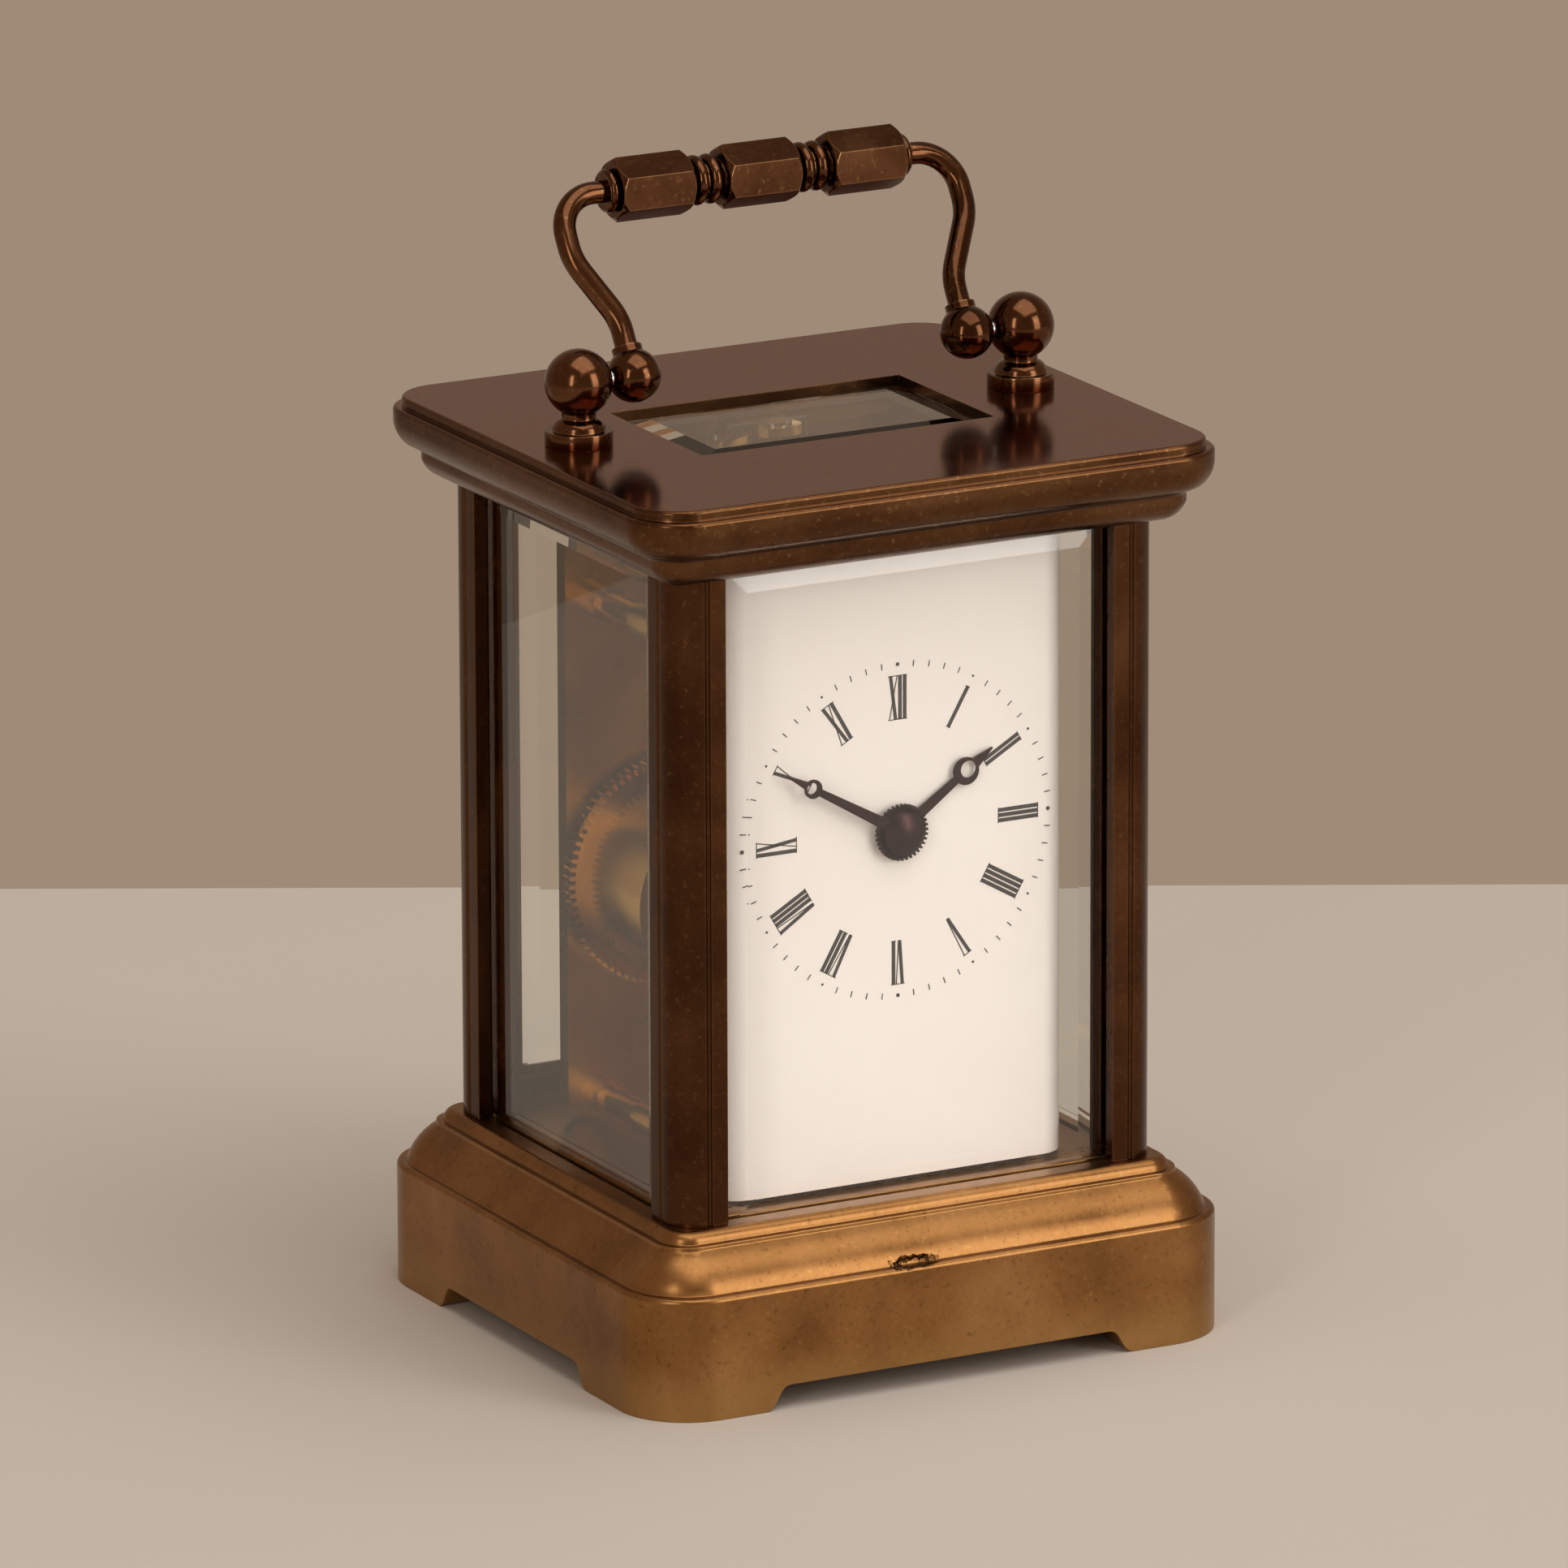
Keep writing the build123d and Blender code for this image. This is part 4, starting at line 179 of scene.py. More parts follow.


# Bronzed brass: machined and polished brass under a brown chemical patina. It looks like warm brown metal with
# clouds of tone about 9 mm across, specks of half a millimetre, dark lines of painted shade and grime in the quirks and
# rubbed bright edges.
# Tones run from the deepest patina to the lightest, and rubbed is the brass that shows where it has worn away.
def bronzed_brass(name, tones, rubbed, gloss, top_patina_and_painted_light=None, foot_height=None, dent=None):
    material, tree = new_material(name)
    place = add(tree, "ShaderNodeTexCoord").outputs["Object"]
    cloud = add(tree, "ShaderNodeTexNoise", values={"Scale": 110.0, "Detail": 4.0, "Roughness": 0.55}, links={
        "Vector": place}).outputs["Fac"]
    speckle = add(tree, "ShaderNodeTexNoise", values={"Scale": 1900.0, "Detail": 3.0, "Roughness": 0.7}, links={
        "Vector": place}).outputs["Fac"]
    patina = add(tree, "ShaderNodeValToRGB", links={"Fac": cloud})
    patina.color_ramp.elements.new(0.5)
    for stop, (position, tone) in zip(patina.color_ramp.elements, zip((0.3, 0.5, 0.72), tones)):
        stop.position = position
        stop.color = linear(tone)
    colour = patina.outputs["Color"]
    rough = add(tree, "ShaderNodeMapRange", values={
        "From Min": 0.3, "From Max": 0.7, "To Min": gloss[0], "To Max": gloss[1]}, links={
        "Value": cloud}).outputs["Result"]
    if top_patina_and_painted_light:
        # Faces that look straight up get their own redder, lighter tones and a higher polish: the red-brown patina of
        # the polished top, with painted light for the brightness it catches.
        lift = add(tree, "ShaderNodeSeparateXYZ", links={
            "Vector": add(tree, "ShaderNodeNewGeometry").outputs["True Normal"]}).outputs["Z"]
        flat = add(tree, "ShaderNodeMapRange", values={"From Min": 0.9, "From Max": 0.98}, links={
            "Value": lift}).outputs["Result"]
        plate = add(tree, "ShaderNodeMix", {"data_type": "RGBA"}, {"A": linear(top_patina_and_painted_light[0]), "B": linear(top_patina_and_painted_light[1])},
                    {"Factor": cloud}).outputs["Result"]
        colour = add(tree, "ShaderNodeMix", {"data_type": "RGBA"}, links={
            "Factor": flat, "A": colour, "B": plate}).outputs["Result"]
        polish = add(tree, "ShaderNodeMapRange", values={"To Min": 1.0, "To Max": 0.55}, links={
            "Value": flat}).outputs["Result"]
        rough = add(tree, "ShaderNodeMath", {"operation": "MULTIPLY"}, links={0: rough, 1: polish}).outputs[0]
    pale_specks = add(tree, "ShaderNodeMapRange", values={
        "From Min": 0.58, "From Max": 0.74, "To Max": 0.35}, links={"Value": speckle}).outputs["Result"]
    colour = add(tree, "ShaderNodeMix", {"data_type": "RGBA"}, {"B": linear(rubbed)}, {
        "Factor": pale_specks, "A": colour}).outputs["Result"]
    dark_specks = add(tree, "ShaderNodeMapRange", values={
        "From Min": 0.42, "From Max": 0.24, "To Max": 0.55}, links={"Value": speckle}).outputs["Result"]
    colour = add(tree, "ShaderNodeMix", {"data_type": "RGBA"}, {"B": linear("#2e190c")}, {
        "Factor": dark_specks, "A": colour}).outputs["Result"]
    if foot_height:
        height = add(tree, "ShaderNodeSeparateXYZ", links={"Vector": place}).outputs["Z"]
        low = add(tree, "ShaderNodeMapRange", {"interpolation_type": "SMOOTHSTEP"}, {
            "From Min": foot_height, "From Max": 0.0, "To Max": 0.45}, {"Value": height}).outputs["Result"]
        colour = add(tree, "ShaderNodeMix", {"data_type": "RGBA"}, {"B": linear(rubbed)}, {
            "Factor": low, "A": colour}).outputs["Result"]
    # Rubbed edges: the normal of a rounded edge leaves that of the face beside it.
    soft = add(tree, "ShaderNodeBevel", {"samples": 4}, {"Radius": 0.22 * mm}).outputs["Normal"]
    face = add(tree, "ShaderNodeNewGeometry").outputs["Normal"]
    agreement = add(tree, "ShaderNodeVectorMath", {"operation": "DOT_PRODUCT"}, links={
        0: soft, 1: face}).outputs["Value"]
    edge = add(tree, "ShaderNodeMapRange", values={"From Min": 0.99, "From Max": 0.86, "To Max": 0.55}, links={
        "Value": agreement}).outputs["Result"]
    colour = add(tree, "ShaderNodeMix", {"data_type": "RGBA"}, {"B": linear(rubbed)}, {
        "Factor": edge, "A": colour}).outputs["Result"]
    # Painted shade: the quirks and inner corners, where the metal around them keeps light out, are darkened, along with
    # the old polish and dust that stay there.
    shelter = add(tree, "ShaderNodeAmbientOcclusion", {"samples": 6, "only_local": True}, {
        "Distance": 1.1 * mm}).outputs["AO"]
    quirk_shade_and_grime = add(tree, "ShaderNodeMapRange", values={"From Min": 0.75, "From Max": 0.25, "To Max": 0.75}, links={
        "Value": shelter}).outputs["Result"]
    colour = add(tree, "ShaderNodeMix", {"data_type": "RGBA"}, {"B": linear("#24130a")}, {
        "Factor": quirk_shade_and_grime, "A": colour}).outputs["Result"]
    # Polishing lines a twentieth of a millimetre apart are too fine to show, so these are 0.4 mm apart.
    scour = add(tree, "ShaderNodeTexNoise", values={"Scale": 2500.0, "Detail": 2.0}, links={
        "Vector": place}).outputs["Fac"]
    ripple = add(tree, "ShaderNodeTexNoise", values={"Scale": 240.0, "Detail": 1.0}, links={
        "Vector": place}).outputs["Fac"]
    normal = add(tree, "ShaderNodeBump", values={"Strength": 0.05, "Distance": 0.03 * mm}, links={
        "Height": scour}).outputs["Normal"]
    normal = add(tree, "ShaderNodeBump", values={"Strength": 0.07, "Distance": 0.08 * mm}, links={
        "Height": ripple, "Normal": normal}).outputs["Normal"]
    if dent:
        # A knock on the front edge, 5 mm long and 1 mm high, with a crumpled rim and a bright bruise inside it. The
        # sloping wall of the rim is painted darker: painted shade.
        apart = add(tree, "ShaderNodeVectorMath", {"operation": "SUBTRACT"}, {1: dent}, {0: place}).outputs["Vector"]
        squeezed = add(tree, "ShaderNodeVectorMath", {"operation": "MULTIPLY"}, {1: (0.36, 1.0, 1.5)}, {
            0: apart}).outputs["Vector"]
        offset = add(tree, "ShaderNodeVectorMath", {"operation": "LENGTH"}, links={0: squeezed}).outputs["Value"]
        torn = add(tree, "ShaderNodeTexNoise", values={"Scale": 1500.0, "Detail": 2.0}, links={
            "Vector": place}).outputs["Fac"]
        ragged = add(tree, "ShaderNodeMath", {"operation": "MULTIPLY_ADD"}, {1: 0.9 * mm}, {
            0: torn, 2: offset}).outputs[0]
        knock = add(tree, "ShaderNodeMapRange", {"interpolation_type": "SMOOTHSTEP"}, {
            "From Min": 1.4 * mm, "From Max": 0.8 * mm}, {"Value": ragged}).outputs["Result"]
        normal = add(tree, "ShaderNodeBump", {"invert": True}, {"Strength": 1.0, "Distance": 0.4 * mm}, {
            "Height": knock, "Normal": normal}).outputs["Normal"]
        # Painted shade on the dent's sloping wall.
        dent_wall_shade = add(tree, "ShaderNodeMath", {"operation": "PINGPONG"}, {1: 0.5}, {0: knock}).outputs[0]
        painted_dent_wall_shade = add(tree, "ShaderNodeMath", {"operation": "MULTIPLY", "use_clamp": True}, {1: 1.7}, {
            0: dent_wall_shade}).outputs[0]
        colour = add(tree, "ShaderNodeMix", {"data_type": "RGBA"}, {"B": linear("#2a170c")}, {
            "Factor": painted_dent_wall_shade, "A": colour}).outputs["Result"]
    surface = add(tree, "ShaderNodeBsdfPrincipled", values={"Metallic": 1.0}, links={
        "Base Color": colour, "Roughness": rough, "Normal": normal})
    add(tree, "ShaderNodeOutputMaterial", links={"Surface": surface.outputs["BSDF"]})
    return material


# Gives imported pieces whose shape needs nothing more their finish.
def dress(material, *nodes):
    for node in nodes:
        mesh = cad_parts[node].data
        mesh.materials.clear()
        mesh.materials.append(material)


case_arris = 0.08 * mm
worn_foot_height = 6.0 * mm
dent_place = (-3.2 * mm, -25.6 * mm, 10.9 * mm)
base_bronze = bronzed_brass(
    "bronzed_brass_base", ("#7d5631", "#92663a", "#a37649"), "#bb955c", (0.26, 0.38),
    foot_height=worn_foot_height, dent=dent_place)
finished("base_plinth", "case", base_bronze, case_arris, limited=False)
dress(base_bronze, "bottom_plate")


# Screws: turned steel with slotted heads, polished. Four hold the bottom plate, and six hold the pillars to the base
# and the cornice.

# Bare metal: steel or brass, turned or rolled, then polished or gilt. It looks clean and sharp, with its own colour in
# two close tones. Real turning lines are too fine to show, so the grain is drawn about 0.7 mm apart, or as given.
def turned_metal(name, tones, gloss, grain=1400.0):
    material, tree = new_material(name)
    place = add(tree, "ShaderNodeTexCoord").outputs["Object"]
    marks = add(tree, "ShaderNodeTexNoise", values={"Scale": grain, "Detail": 3.0}, links={
        "Vector": place}).outputs["Fac"]
    film = add(tree, "ShaderNodeTexNoise", values={"Scale": 160.0, "Detail": 3.0}, links={
        "Vector": place}).outputs["Fac"]
    colour = add(tree, "ShaderNodeMix", {"data_type": "RGBA"}, {"A": linear(tones[0]), "B": linear(tones[1])}, {
        "Factor": film}).outputs["Result"]
    rough = add(tree, "ShaderNodeMapRange", values={
        "From Min": 0.3, "From Max": 0.7, "To Min": gloss[0], "To Max": gloss[1]}, links={
        "Value": film}).outputs["Result"]
    normal = add(tree, "ShaderNodeBump", values={"Strength": 0.12, "Distance": 0.03 * mm}, links={
        "Height": marks}).outputs["Normal"]
    surface = add(tree, "ShaderNodeBsdfPrincipled", values={"Metallic": 1.0}, links={
        "Base Color": colour, "Roughness": rough, "Normal": normal})
    add(tree, "ShaderNodeOutputMaterial", links={"Surface": surface.outputs["BSDF"]})
    return material


polished_steel = turned_metal("polished_steel", ("#9b9a98", "#c6c5c2"), (0.16, 0.30))
dress(polished_steel, "bottom_plate_screws", "case_screws")

# Corner pillars: drawn brass strip with a rounded outer corner, fine quirk lines and grooves for the glasses. They
# are bronzed darker than the base, and the hand reaches them less.
pillar_bronze = bronzed_brass(
    "bronzed_brass_pillars", ("#3f2616", "#4c2f1b", "#593924"), "#8a6640", (0.20, 0.34))
for pillar in ("pillar_front_left", "pillar_front_right", "pillar_rear_left", "pillar_rear_right"):
    finished(pillar, "case", pillar_bronze, case_arris, limited=False)

# Cornice: the cast and machined top moulding, with the opening for the top glass. Its flat top is polished like a
# mirror under a red-brown patina, and shows the posts standing on it. The top's own lighter, redder tones are partly
# painted light.
cornice_bronze = bronzed_brass(
    "bronzed_brass_cornice", ("#4c2f1d", "#5c3d24", "#6a4930"), "#a88458", (0.20, 0.32),
    top_patina_and_painted_light=("#733f2d", "#824c36"))
cornice_arris = 0.04 * mm
finished("cornice", "case", cornice_bronze, cornice_arris)


# Glasses: five panes of thick plate glass with wide ground and polished bevels. They slide in the grooves of the
# pillars, and clips hold the top one.

# Plate glass: cast, ground and polished. It is clear and a little green through the edge, with an uneven film of
# old polish that dulls it in places. Lamps shine through it, so what stands behind is lit. A broken dark line lies
# on the lower arris of its bevel, at the given height: partly dust, partly painted shade for the gap at the dial's
# lower edge.
def plate_glass(name, tint, dust_and_shade_height=None):
    material, tree = new_material(name)
    place = add(tree, "ShaderNodeTexCoord").outputs["Object"]
    film = add(tree, "ShaderNodeTexNoise", values={"Scale": 90.0, "Detail": 5.0, "Roughness": 0.6}, links={
        "Vector": place}).outputs["Fac"]
    dulled = add(tree, "ShaderNodeMapRange", values={"From Min": 0.5, "From Max": 0.8, "To Max": 0.04}, links={
        "Value": film}).outputs["Result"]
    glass = add(tree, "ShaderNodeBsdfPrincipled", values={
        "Base Color": linear(tint), "Transmission Weight": 1.0, "IOR": 1.5}, links={"Roughness": dulled})
    clear = add(tree, "ShaderNodeBsdfTransparent", values={"Color": linear(tint)})
    path = add(tree, "ShaderNodeLightPath")
    pane = add(tree, "ShaderNodeMixShader", links={
        0: path.outputs["Is Shadow Ray"], 1: glass.outputs["BSDF"], 2: clear.outputs["BSDF"]})
    # Partly dust, partly painted shade: a broken dark line along the lower arris.
    if dust_and_shade_height:
        height = add(tree, "ShaderNodeSeparateXYZ", links={"Vector": place}).outputs["Z"]
        off_line = add(tree, "ShaderNodeMath", {"operation": "SUBTRACT"}, {1: dust_and_shade_height}, {0: height}).outputs[0]
        off_line = add(tree, "ShaderNodeMath", {"operation": "ABSOLUTE"}, links={0: off_line}).outputs[0]
        flecks = add(tree, "ShaderNodeTexNoise", values={"Scale": 750.0, "Detail": 3.0}, links={
            "Vector": place}).outputs["Fac"]
        reach = add(tree, "ShaderNodeMapRange", values={
            "From Min": 0.45, "From Max": 0.70, "To Min": 0.0, "To Max": 0.10 * mm}, links={
            "Value": flecks}).outputs["Result"]
        on_dust_and_shade_line = add(tree, "ShaderNodeMath", {"operation": "LESS_THAN"}, links={0: off_line, 1: reach}).outputs[0]
        dust_and_shade_line = add(tree, "ShaderNodeBsdfDiffuse", values={"Color": linear("#4a3c2e")})
        pane = add(tree, "ShaderNodeMixShader", links={0: on_dust_and_shade_line, 1: pane.outputs[0], 2: dust_and_shade_line.outputs[0]})
    add(tree, "ShaderNodeOutputMaterial", links={"Surface": pane.outputs["Shader"]})
    return material


bevelled_glass = plate_glass("bevelled_plate_glass", "#fbfcf9")
dress(bevelled_glass, "left_glass", "right_glass", "top_glass", "door_glass")
lower_arris_height = 16.2 * mm
dress(plate_glass("bevelled_plate_glass_with_dust_and_shade_line", "#fbfcf9", dust_and_shade_height=lower_arris_height), "front_glass")

# Handle: two turned posts with balls stand on the top plate, and pins in their balls carry two bent arms. The grip
# between the arms is turned and milled into three six-sided barrels with beads between them. All are bronzed brass,
# rubbed through to yellow brass along the edges where fingers lift the clock.
handle_arris = 0.05 * mm
handle_bronze = bronzed_brass(
    "bronzed_brass_handle", ("#492d1c", "#5b3a25", "#6b472f"), "#a9845a", (0.11, 0.20))
finished("handle_posts", "case", handle_bronze, handle_arris)
for lifted in ("handle_arm_left", "handle_arm_right", "handle_grip"):
    finished(lifted, "handle", handle_bronze, handle_arris)
dress(polished_steel, "handle_pivot_pins")

# Rear door: a milled brass frame, bronzed like the pillars, with a bevelled glass, a turned knob and two steel hinge
# pins.
finished("door_frame", "rear_door", pillar_bronze, case_arris)
finished("door_knob", "rear_door", handle_bronze, handle_arris)
dress(polished_steel, "door_hinge_pins")

# Dial: a copper plate with white enamel fused on it, its two upright edges rolled back. Four copper feet hold it to
# the movement.
# Enamel: powdered glass fired on copper. It is glossy, a warm white with age, and its skin is very slightly uneven
# every 3 mm or so.
vitreous_enamel, tree = new_material("white_vitreous_enamel")
place = add(tree, "ShaderNodeTexCoord").outputs["Object"]
ageing = add(tree, "ShaderNodeTexNoise", values={"Scale": 70.0, "Detail": 4.0}, links={"Vector": place}).outputs["Fac"]
enamel_colour = add(tree, "ShaderNodeMix", {"data_type": "RGBA"}, {"A": linear("#f1e4df"), "B": linear("#f6ebe7")}, {
    "Factor": ageing}).outputs["Result"]
skin = add(tree, "ShaderNodeTexNoise", values={"Scale": 330.0, "Detail": 1.0}, links={"Vector": place}).outputs["Fac"]
skin_bump = add(tree, "ShaderNodeBump", values={"Strength": 0.05, "Distance": 0.05 * mm}, links={
    "Height": skin}).outputs["Normal"]
skin_gloss = add(tree, "ShaderNodeMapRange", values={"To Min": 0.12, "To Max": 0.22}, links={
    "Value": ageing}).outputs["Result"]
enamel = add(tree, "ShaderNodeBsdfPrincipled", values={"IOR": 1.5}, links={
    "Base Color": enamel_colour, "Roughness": skin_gloss, "Normal": skin_bump})
add(tree, "ShaderNodeOutputMaterial", links={"Surface": enamel.outputs["BSDF"]})
enamel_edge = 0.05 * mm
finished("dial", "case", vitreous_enamel, enamel_edge)

# Dial printing: black ceramic colour painted on the enamel and fired, about 0.03 mm thick. The hours are upright
# Roman numerals that stand round the centre, with thick and thin strokes and fine serifs.
dial_centre = Vector((0, -16.3, 45.9)) * mm
paint_thickness = 0.03 * mm
numeral_foot = 9.6 * mm
numeral_top = 13.45 * mm
thick_stroke = 0.34 * mm
slanted_share = 0.9
thin_stroke = 0.09 * mm
stroke_pitch = 0.45 * mm
v_width = 0.84 * mm
x_width = 0.90 * mm
serif = 0.07 * mm
serif_overhang = 0.06 * mm

# Fired black: matt to satin brown-black, a little thin at the edges of the brush stroke.
dial_black, tree = new_material("fired_black_ceramic_colour")
place = add(tree, "ShaderNodeTexCoord").outputs["Object"]
brushed = add(tree, "ShaderNodeTexNoise", values={"Scale": 2600.0, "Detail": 2.0}, links={
    "Vector": place}).outputs["Fac"]
black_colour = add(tree, "ShaderNodeMix", {"data_type": "RGBA"}, {"A": linear("#1f1a1b"), "B": linear("#3c3334")}, {
    "Factor": brushed}).outputs["Result"]
black = add(tree, "ShaderNodeBsdfPrincipled", values={"Roughness": 0.4, "IOR": 1.5}, links={
    "Base Color": black_colour})
add(tree, "ShaderNodeOutputMaterial", links={"Surface": black.outputs["BSDF"]})


# Strokes of a numeral, as four-cornered outlines of (across, out) from its middle and from the dial's centre.
def upright_stroke(across, wide):
    return [(across, numeral_foot), (across + wide, numeral_foot), (across + wide, numeral_top), (across, numeral_top)]


def slanted_stroke(foot, top, wide):
    return [(foot, numeral_foot), (foot + wide, numeral_foot), (top + wide, numeral_top), (top, numeral_top)]


def serif_lines(left, right, at_foot=True):
    rows = [(numeral_top - serif, numeral_top)] + ([(numeral_foot, numeral_foot + serif)] if at_foot else [])
    return [[(left - serif_overhang, low), (right + serif_overhang, low), (right + serif_overhang, high),
             (left - serif_overhang, high)] for low, high in rows]


# Letters are (width, strokes) with the left edge at 0.
def letter(kind):
    if kind == "I":
        left = (stroke_pitch - thick_stroke) / 2
        return stroke_pitch, [upright_stroke(left, thick_stroke)] + serif_lines(left, left + thick_stroke)
    if kind == "V":
        point = (v_width - thin_stroke) / 2
        thick = slanted_stroke(point - thin_stroke / 2, serif, thick_stroke * slanted_share)
        thin = slanted_stroke(point + thick_stroke / 2, v_width - thin_stroke, thin_stroke)
        return v_width, [thick, thin] + serif_lines(serif, v_width, at_foot=False)
    thick = slanted_stroke(x_width - thick_stroke, serif, thick_stroke * slanted_share)
    thin = slanted_stroke(serif, x_width - thin_stroke, thin_stroke)
    return x_width, [thick, thin] + serif_lines(serif, x_width)


printing = bmesh.new()
for hour, numeral in enumerate(("I", "II", "III", "IIII", "V", "VI", "VII", "VIII", "IX", "X", "XI", "XII"), 1):
    letters = [letter(kind) for kind in numeral]
    left = -sum(width for width, _ in letters) / 2
    bearing = radians(30 * hour)
    for width, strokes in letters:
        for stroke in strokes:
            corners = []
            for across, out in stroke:
                u = left + across
                corners.append((u * cos(bearing) + out * sin(bearing), out * cos(bearing) - u * sin(bearing)))
            front = [printing.verts.new(dial_centre + Vector((x, -paint_thickness, z))) for x, z in corners]
            back = [printing.verts.new(dial_centre + Vector((x, paint_thickness, z))) for x, z in corners]
            printing.faces.new(front)
            printing.faces.new(back[::-1])
            for i in range(4):
                printing.faces.new((front[i], back[i], back[(i + 1) % 4], front[(i + 1) % 4]))
        left += width
bmesh.ops.recalc_face_normals(printing, faces=printing.faces)
numerals_mesh = bpy.data.meshes.new("dial_numerals")
printing.to_mesh(numerals_mesh)
printing.free()
numerals_mesh.materials.append(dial_black)
numerals = bpy.data.objects.new("dial_numerals", numerals_mesh)
bpy.context.scene.collection.objects.link(numerals)
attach(numerals, "case")


# Turns copies of an object's own mesh about the axis through its origin that looks at the viewer, and moves them to
# the centre. One in every so many is left out, or all but those are.
def ring_tree(name):
    tree = bpy.data.node_groups.new(name, "GeometryNodeTree")
    for label, kind, way in (("Geometry", "NodeSocketGeometry", "INPUT"), ("Count", "NodeSocketInt", "INPUT"),
                             ("Centre", "NodeSocketVector", "INPUT"), ("Axis", "NodeSocketVector", "INPUT"),
                             ("Group", "NodeSocketInt", "INPUT"), ("Firsts", "NodeSocketBool", "INPUT"),
                             ("Material", "NodeSocketMaterial", "INPUT"), ("Geometry", "NodeSocketGeometry", "OUTPUT")):
        tree.interface.new_socket(label, in_out=way, socket_type=kind)
    given = add(tree, "NodeGroupInput")
    number = add(tree, "GeometryNodeInputIndex").outputs[0]
    share = add(tree, "ShaderNodeMath", {"operation": "DIVIDE"}, {0: 2 * pi}, {1: given.outputs["Count"]}).outputs[0]
    turn = add(tree, "ShaderNodeMath", {"operation": "MULTIPLY"}, links={0: number, 1: share}).outputs[0]
    turn_about = add(tree, "ShaderNodeVectorMath", {"operation": "SCALE"}, links={
        0: given.outputs["Axis"], "Scale": turn}).outputs[0]
    rest = add(tree, "ShaderNodeMath", {"operation": "MODULO"}, links={0: number, 1: given.outputs["Group"]}).outputs[0]
    first = add(tree, "ShaderNodeMath", {"operation": "LESS_THAN"}, {1: 0.5}, {0: rest}).outputs[0]
    wanted = add(tree, "FunctionNodeBooleanMath", {"operation": "XNOR"}, links={
        0: first, 1: given.outputs["Firsts"]}).outputs[0]
    spots = add(tree, "GeometryNodePoints", links={"Count": given.outputs["Count"]}).outputs[0]
    copies = add(tree, "GeometryNodeInstanceOnPoints", links={
        "Points": spots, "Selection": wanted, "Instance": given.outputs["Geometry"], "Rotation": turn_about})
    moved = add(tree, "GeometryNodeTransform", links={
        "Geometry": copies.outputs[0], "Translation": given.outputs["Centre"]})
    real = add(tree, "GeometryNodeRealizeInstances", links={"Geometry": moved.outputs[0]})
    finish = add(tree, "GeometryNodeSetMaterial", links={
        "Geometry": real.outputs[0], "Material": given.outputs["Material"]})
    add(tree, "NodeGroupOutput", links={"Geometry": finish.outputs[0]})
    return tree


# Makes the turned copies of one small mesh into a plain piece.
def ringed(name, seed_mesh, count, centre, axis, material, group=1, firsts=True):
    host = bpy.data.objects.new(name + "_seed", seed_mesh)
    bpy.context.scene.collection.objects.link(host)
    turning = host.modifiers.new("turning", "NODES")
    turning.node_group = ring_of_copies
    sockets = {item.name: item.identifier for item in ring_of_copies.interface.items_tree if item.in_out == "INPUT"}
    for label, value in (("Count", count), ("Centre", centre), ("Axis", axis), ("Group", group),
                         ("Firsts", firsts), ("Material", material)):
        turning[sockets[label]] = value
    made = bpy.data.meshes.new_from_object(host.evaluated_get(bpy.context.evaluated_depsgraph_get()))
    bpy.data.objects.remove(host)
    piece = bpy.data.objects.new(name, made)
    bpy.context.scene.collection.objects.link(piece)
    return piece


# A closed box with its lowest and highest corner, as the seed of small repeated marks.
def block_mesh(name, low, high):
    shape = bmesh.new()
    bmesh.ops.create_cube(shape, size=1.0)
    for vertex in shape.verts:
        vertex.co = Vector([low[i] if vertex.co[i] < 0 else high[i] for i in range(3)])
    mesh = bpy.data.meshes.new(name)
    shape.to_mesh(mesh)
    shape.free()
    return mesh


# A closed round disc that looks at the viewer.
def spot_mesh(name, radius, out, front, back, sides=16):
    shape = bmesh.new()
    bmesh.ops.create_cone(shape, cap_ends=True, segments=sides, radius1=radius, radius2=radius, depth=back - front)
    bmesh.ops.rotate(shape, verts=shape.verts, matrix=Matrix.Rotation(pi / 2, 3, "X"))
    bmesh.ops.translate(shape, verts=shape.verts, vec=(0, (front + back) / 2, out))
    mesh = bpy.data.meshes.new(name)
    shape.to_mesh(mesh)
    shape.free()
    return mesh


# Minute track: sixty fine dashes round the numerals, with a dot at each hour and a larger one at each quarter.
ring_of_copies = ring_tree("ring_of_copies")
track_radius = 14.4 * mm
dash_half_length = 0.27 * mm
dash_half_width = 0.045 * mm
hour_dot_radius = 0.11 * mm
quarter_dot_radius = 0.17 * mm
towards_viewer = (0, 1, 0)
dash = block_mesh("minute_dash", (-dash_half_width, -paint_thickness, track_radius - dash_half_length),
                  (dash_half_width, paint_thickness, track_radius + dash_half_length))
hour_dot = spot_mesh("hour_dot", hour_dot_radius, track_radius, -paint_thickness, paint_thickness)
quarter_dot = spot_mesh("quarter_dot", quarter_dot_radius, track_radius, -paint_thickness, paint_thickness)
for mark_name, seed, count, group, firsts in (
        ("dial_minute_dashes", dash, 60, 5, False), ("dial_hour_dots", hour_dot, 12, 3, False),
        ("dial_quarter_dots", quarter_dot, 4, 1, True)):
    marks = ringed(mark_name, seed, count, dial_centre, towards_viewer, dial_black, group, firsts)
    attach(marks, "case")

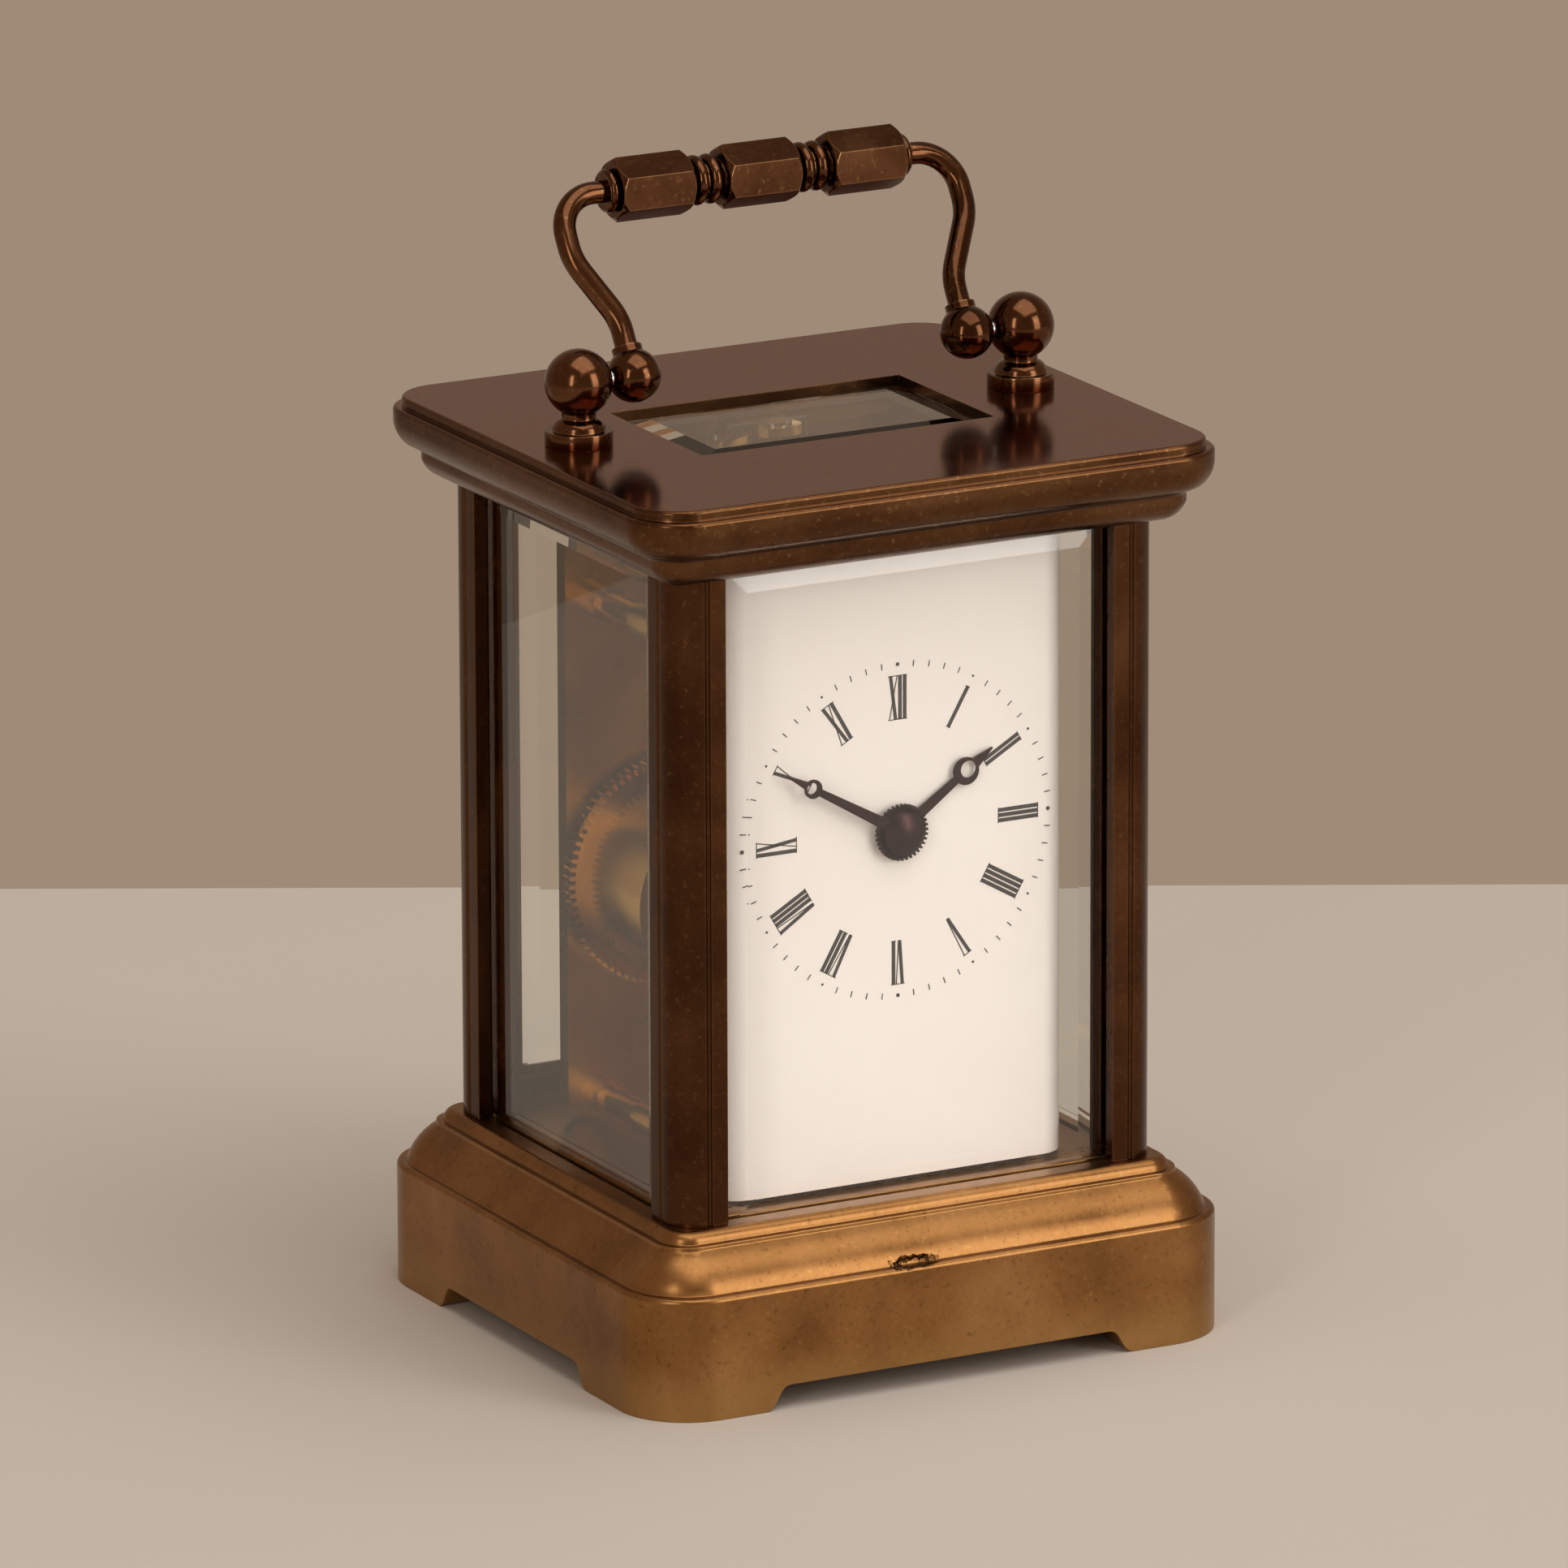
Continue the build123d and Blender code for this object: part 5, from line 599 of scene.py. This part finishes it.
# Hands: pierced and filed from thin steel, and blued by heat until almost black. The minute hand has a domed boss.
# Behind it a knurled collet, which the fingers turn, is fixed to the hour hand.
blued_hands = turned_metal("heat_blued_steel_hands", ("#2e2022", "#40292b"), (0.22, 0.34))
hand_arris = 0.05 * mm
finished("hour_hand", "hour", blued_hands, hand_arris)
finished("minute_hand", "centre", blued_hands, hand_arris)
collet_inside = 1.50 * mm
collet_radius = 2.20 * mm
knurl_height = 0.25 * mm
collet_front = -17.20 * mm
collet_back = -16.84 * mm
knurl_count = 36
collet_share = pi * collet_radius / knurl_count
knurl = block_mesh("collet_share", (-collet_share, collet_front, collet_inside),
                   (collet_share, collet_back, collet_radius))
tooth = block_mesh("collet_tooth", (-collet_share / 2, collet_front, collet_inside),
                   (collet_share / 2, collet_back, collet_radius + knurl_height))
both = bmesh.new()
both.from_mesh(knurl)
both.from_mesh(tooth)
both.to_mesh(knurl)
both.free()
knurls = ringed("collet_knurl", knurl, knurl_count, (0, 0, dial_centre.z), towards_viewer, blued_hands)
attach(knurls, "hour")

# Movement frame: two brass plates, gilt so that they stay bright inside the case, with four turned and polished brass
# pillars between them and polished steel screws.
gilt_brass = turned_metal("gilt_brass", ("#b98a3c", "#d9ae5c"), (0.24, 0.40), 900.0)
polished_brass = turned_metal("polished_brass", ("#c8974a", "#e2bb6c"), (0.16, 0.28))
dress(gilt_brass, "front_plate", "back_plate", "platform_plate", "escape_lower_cock", "escapement_bridge",
      "balance_cock")
dress(polished_brass, "plate_pillars", "top_glass_clips")
dress(polished_steel, "plate_screws", "platform_screws", "escapement_screws")

# Going barrel with its spring and winding work: brass drum and cap, blued steel spring, polished steel arbor,
# ratchet wheel, click and click screw.
blued_spring = turned_metal("blued_spring_steel", ("#26324a", "#34456b"), (0.20, 0.32))
dress(polished_brass, "barrel_drum", "barrel_cap")
dress(blued_spring, "mainspring", "click_spring", "hairspring")
dress(polished_steel, "barrel_arbor", "ratchet_wheel", "click", "click_screw")

# Train and motion work: brass wheels crossed out with five or four arms, on steel arbors with cut pinions.
dress(polished_brass, "centre_wheel", "minute_wheel", "hour_wheel", "third_wheel", "contrate_wheel")
dress(polished_steel, "centre_arbor", "cannon_pinion", "third_arbor", "contrate_arbor", "escape_arbor")

# Platform escapement: steel escape wheel and lever, polished brass balance on a steel staff, steel regulator index.
dress(polished_steel, "escape_wheel", "pallet_lever", "balance_staff", "regulator_index")
dress(polished_brass, "balance_wheel")
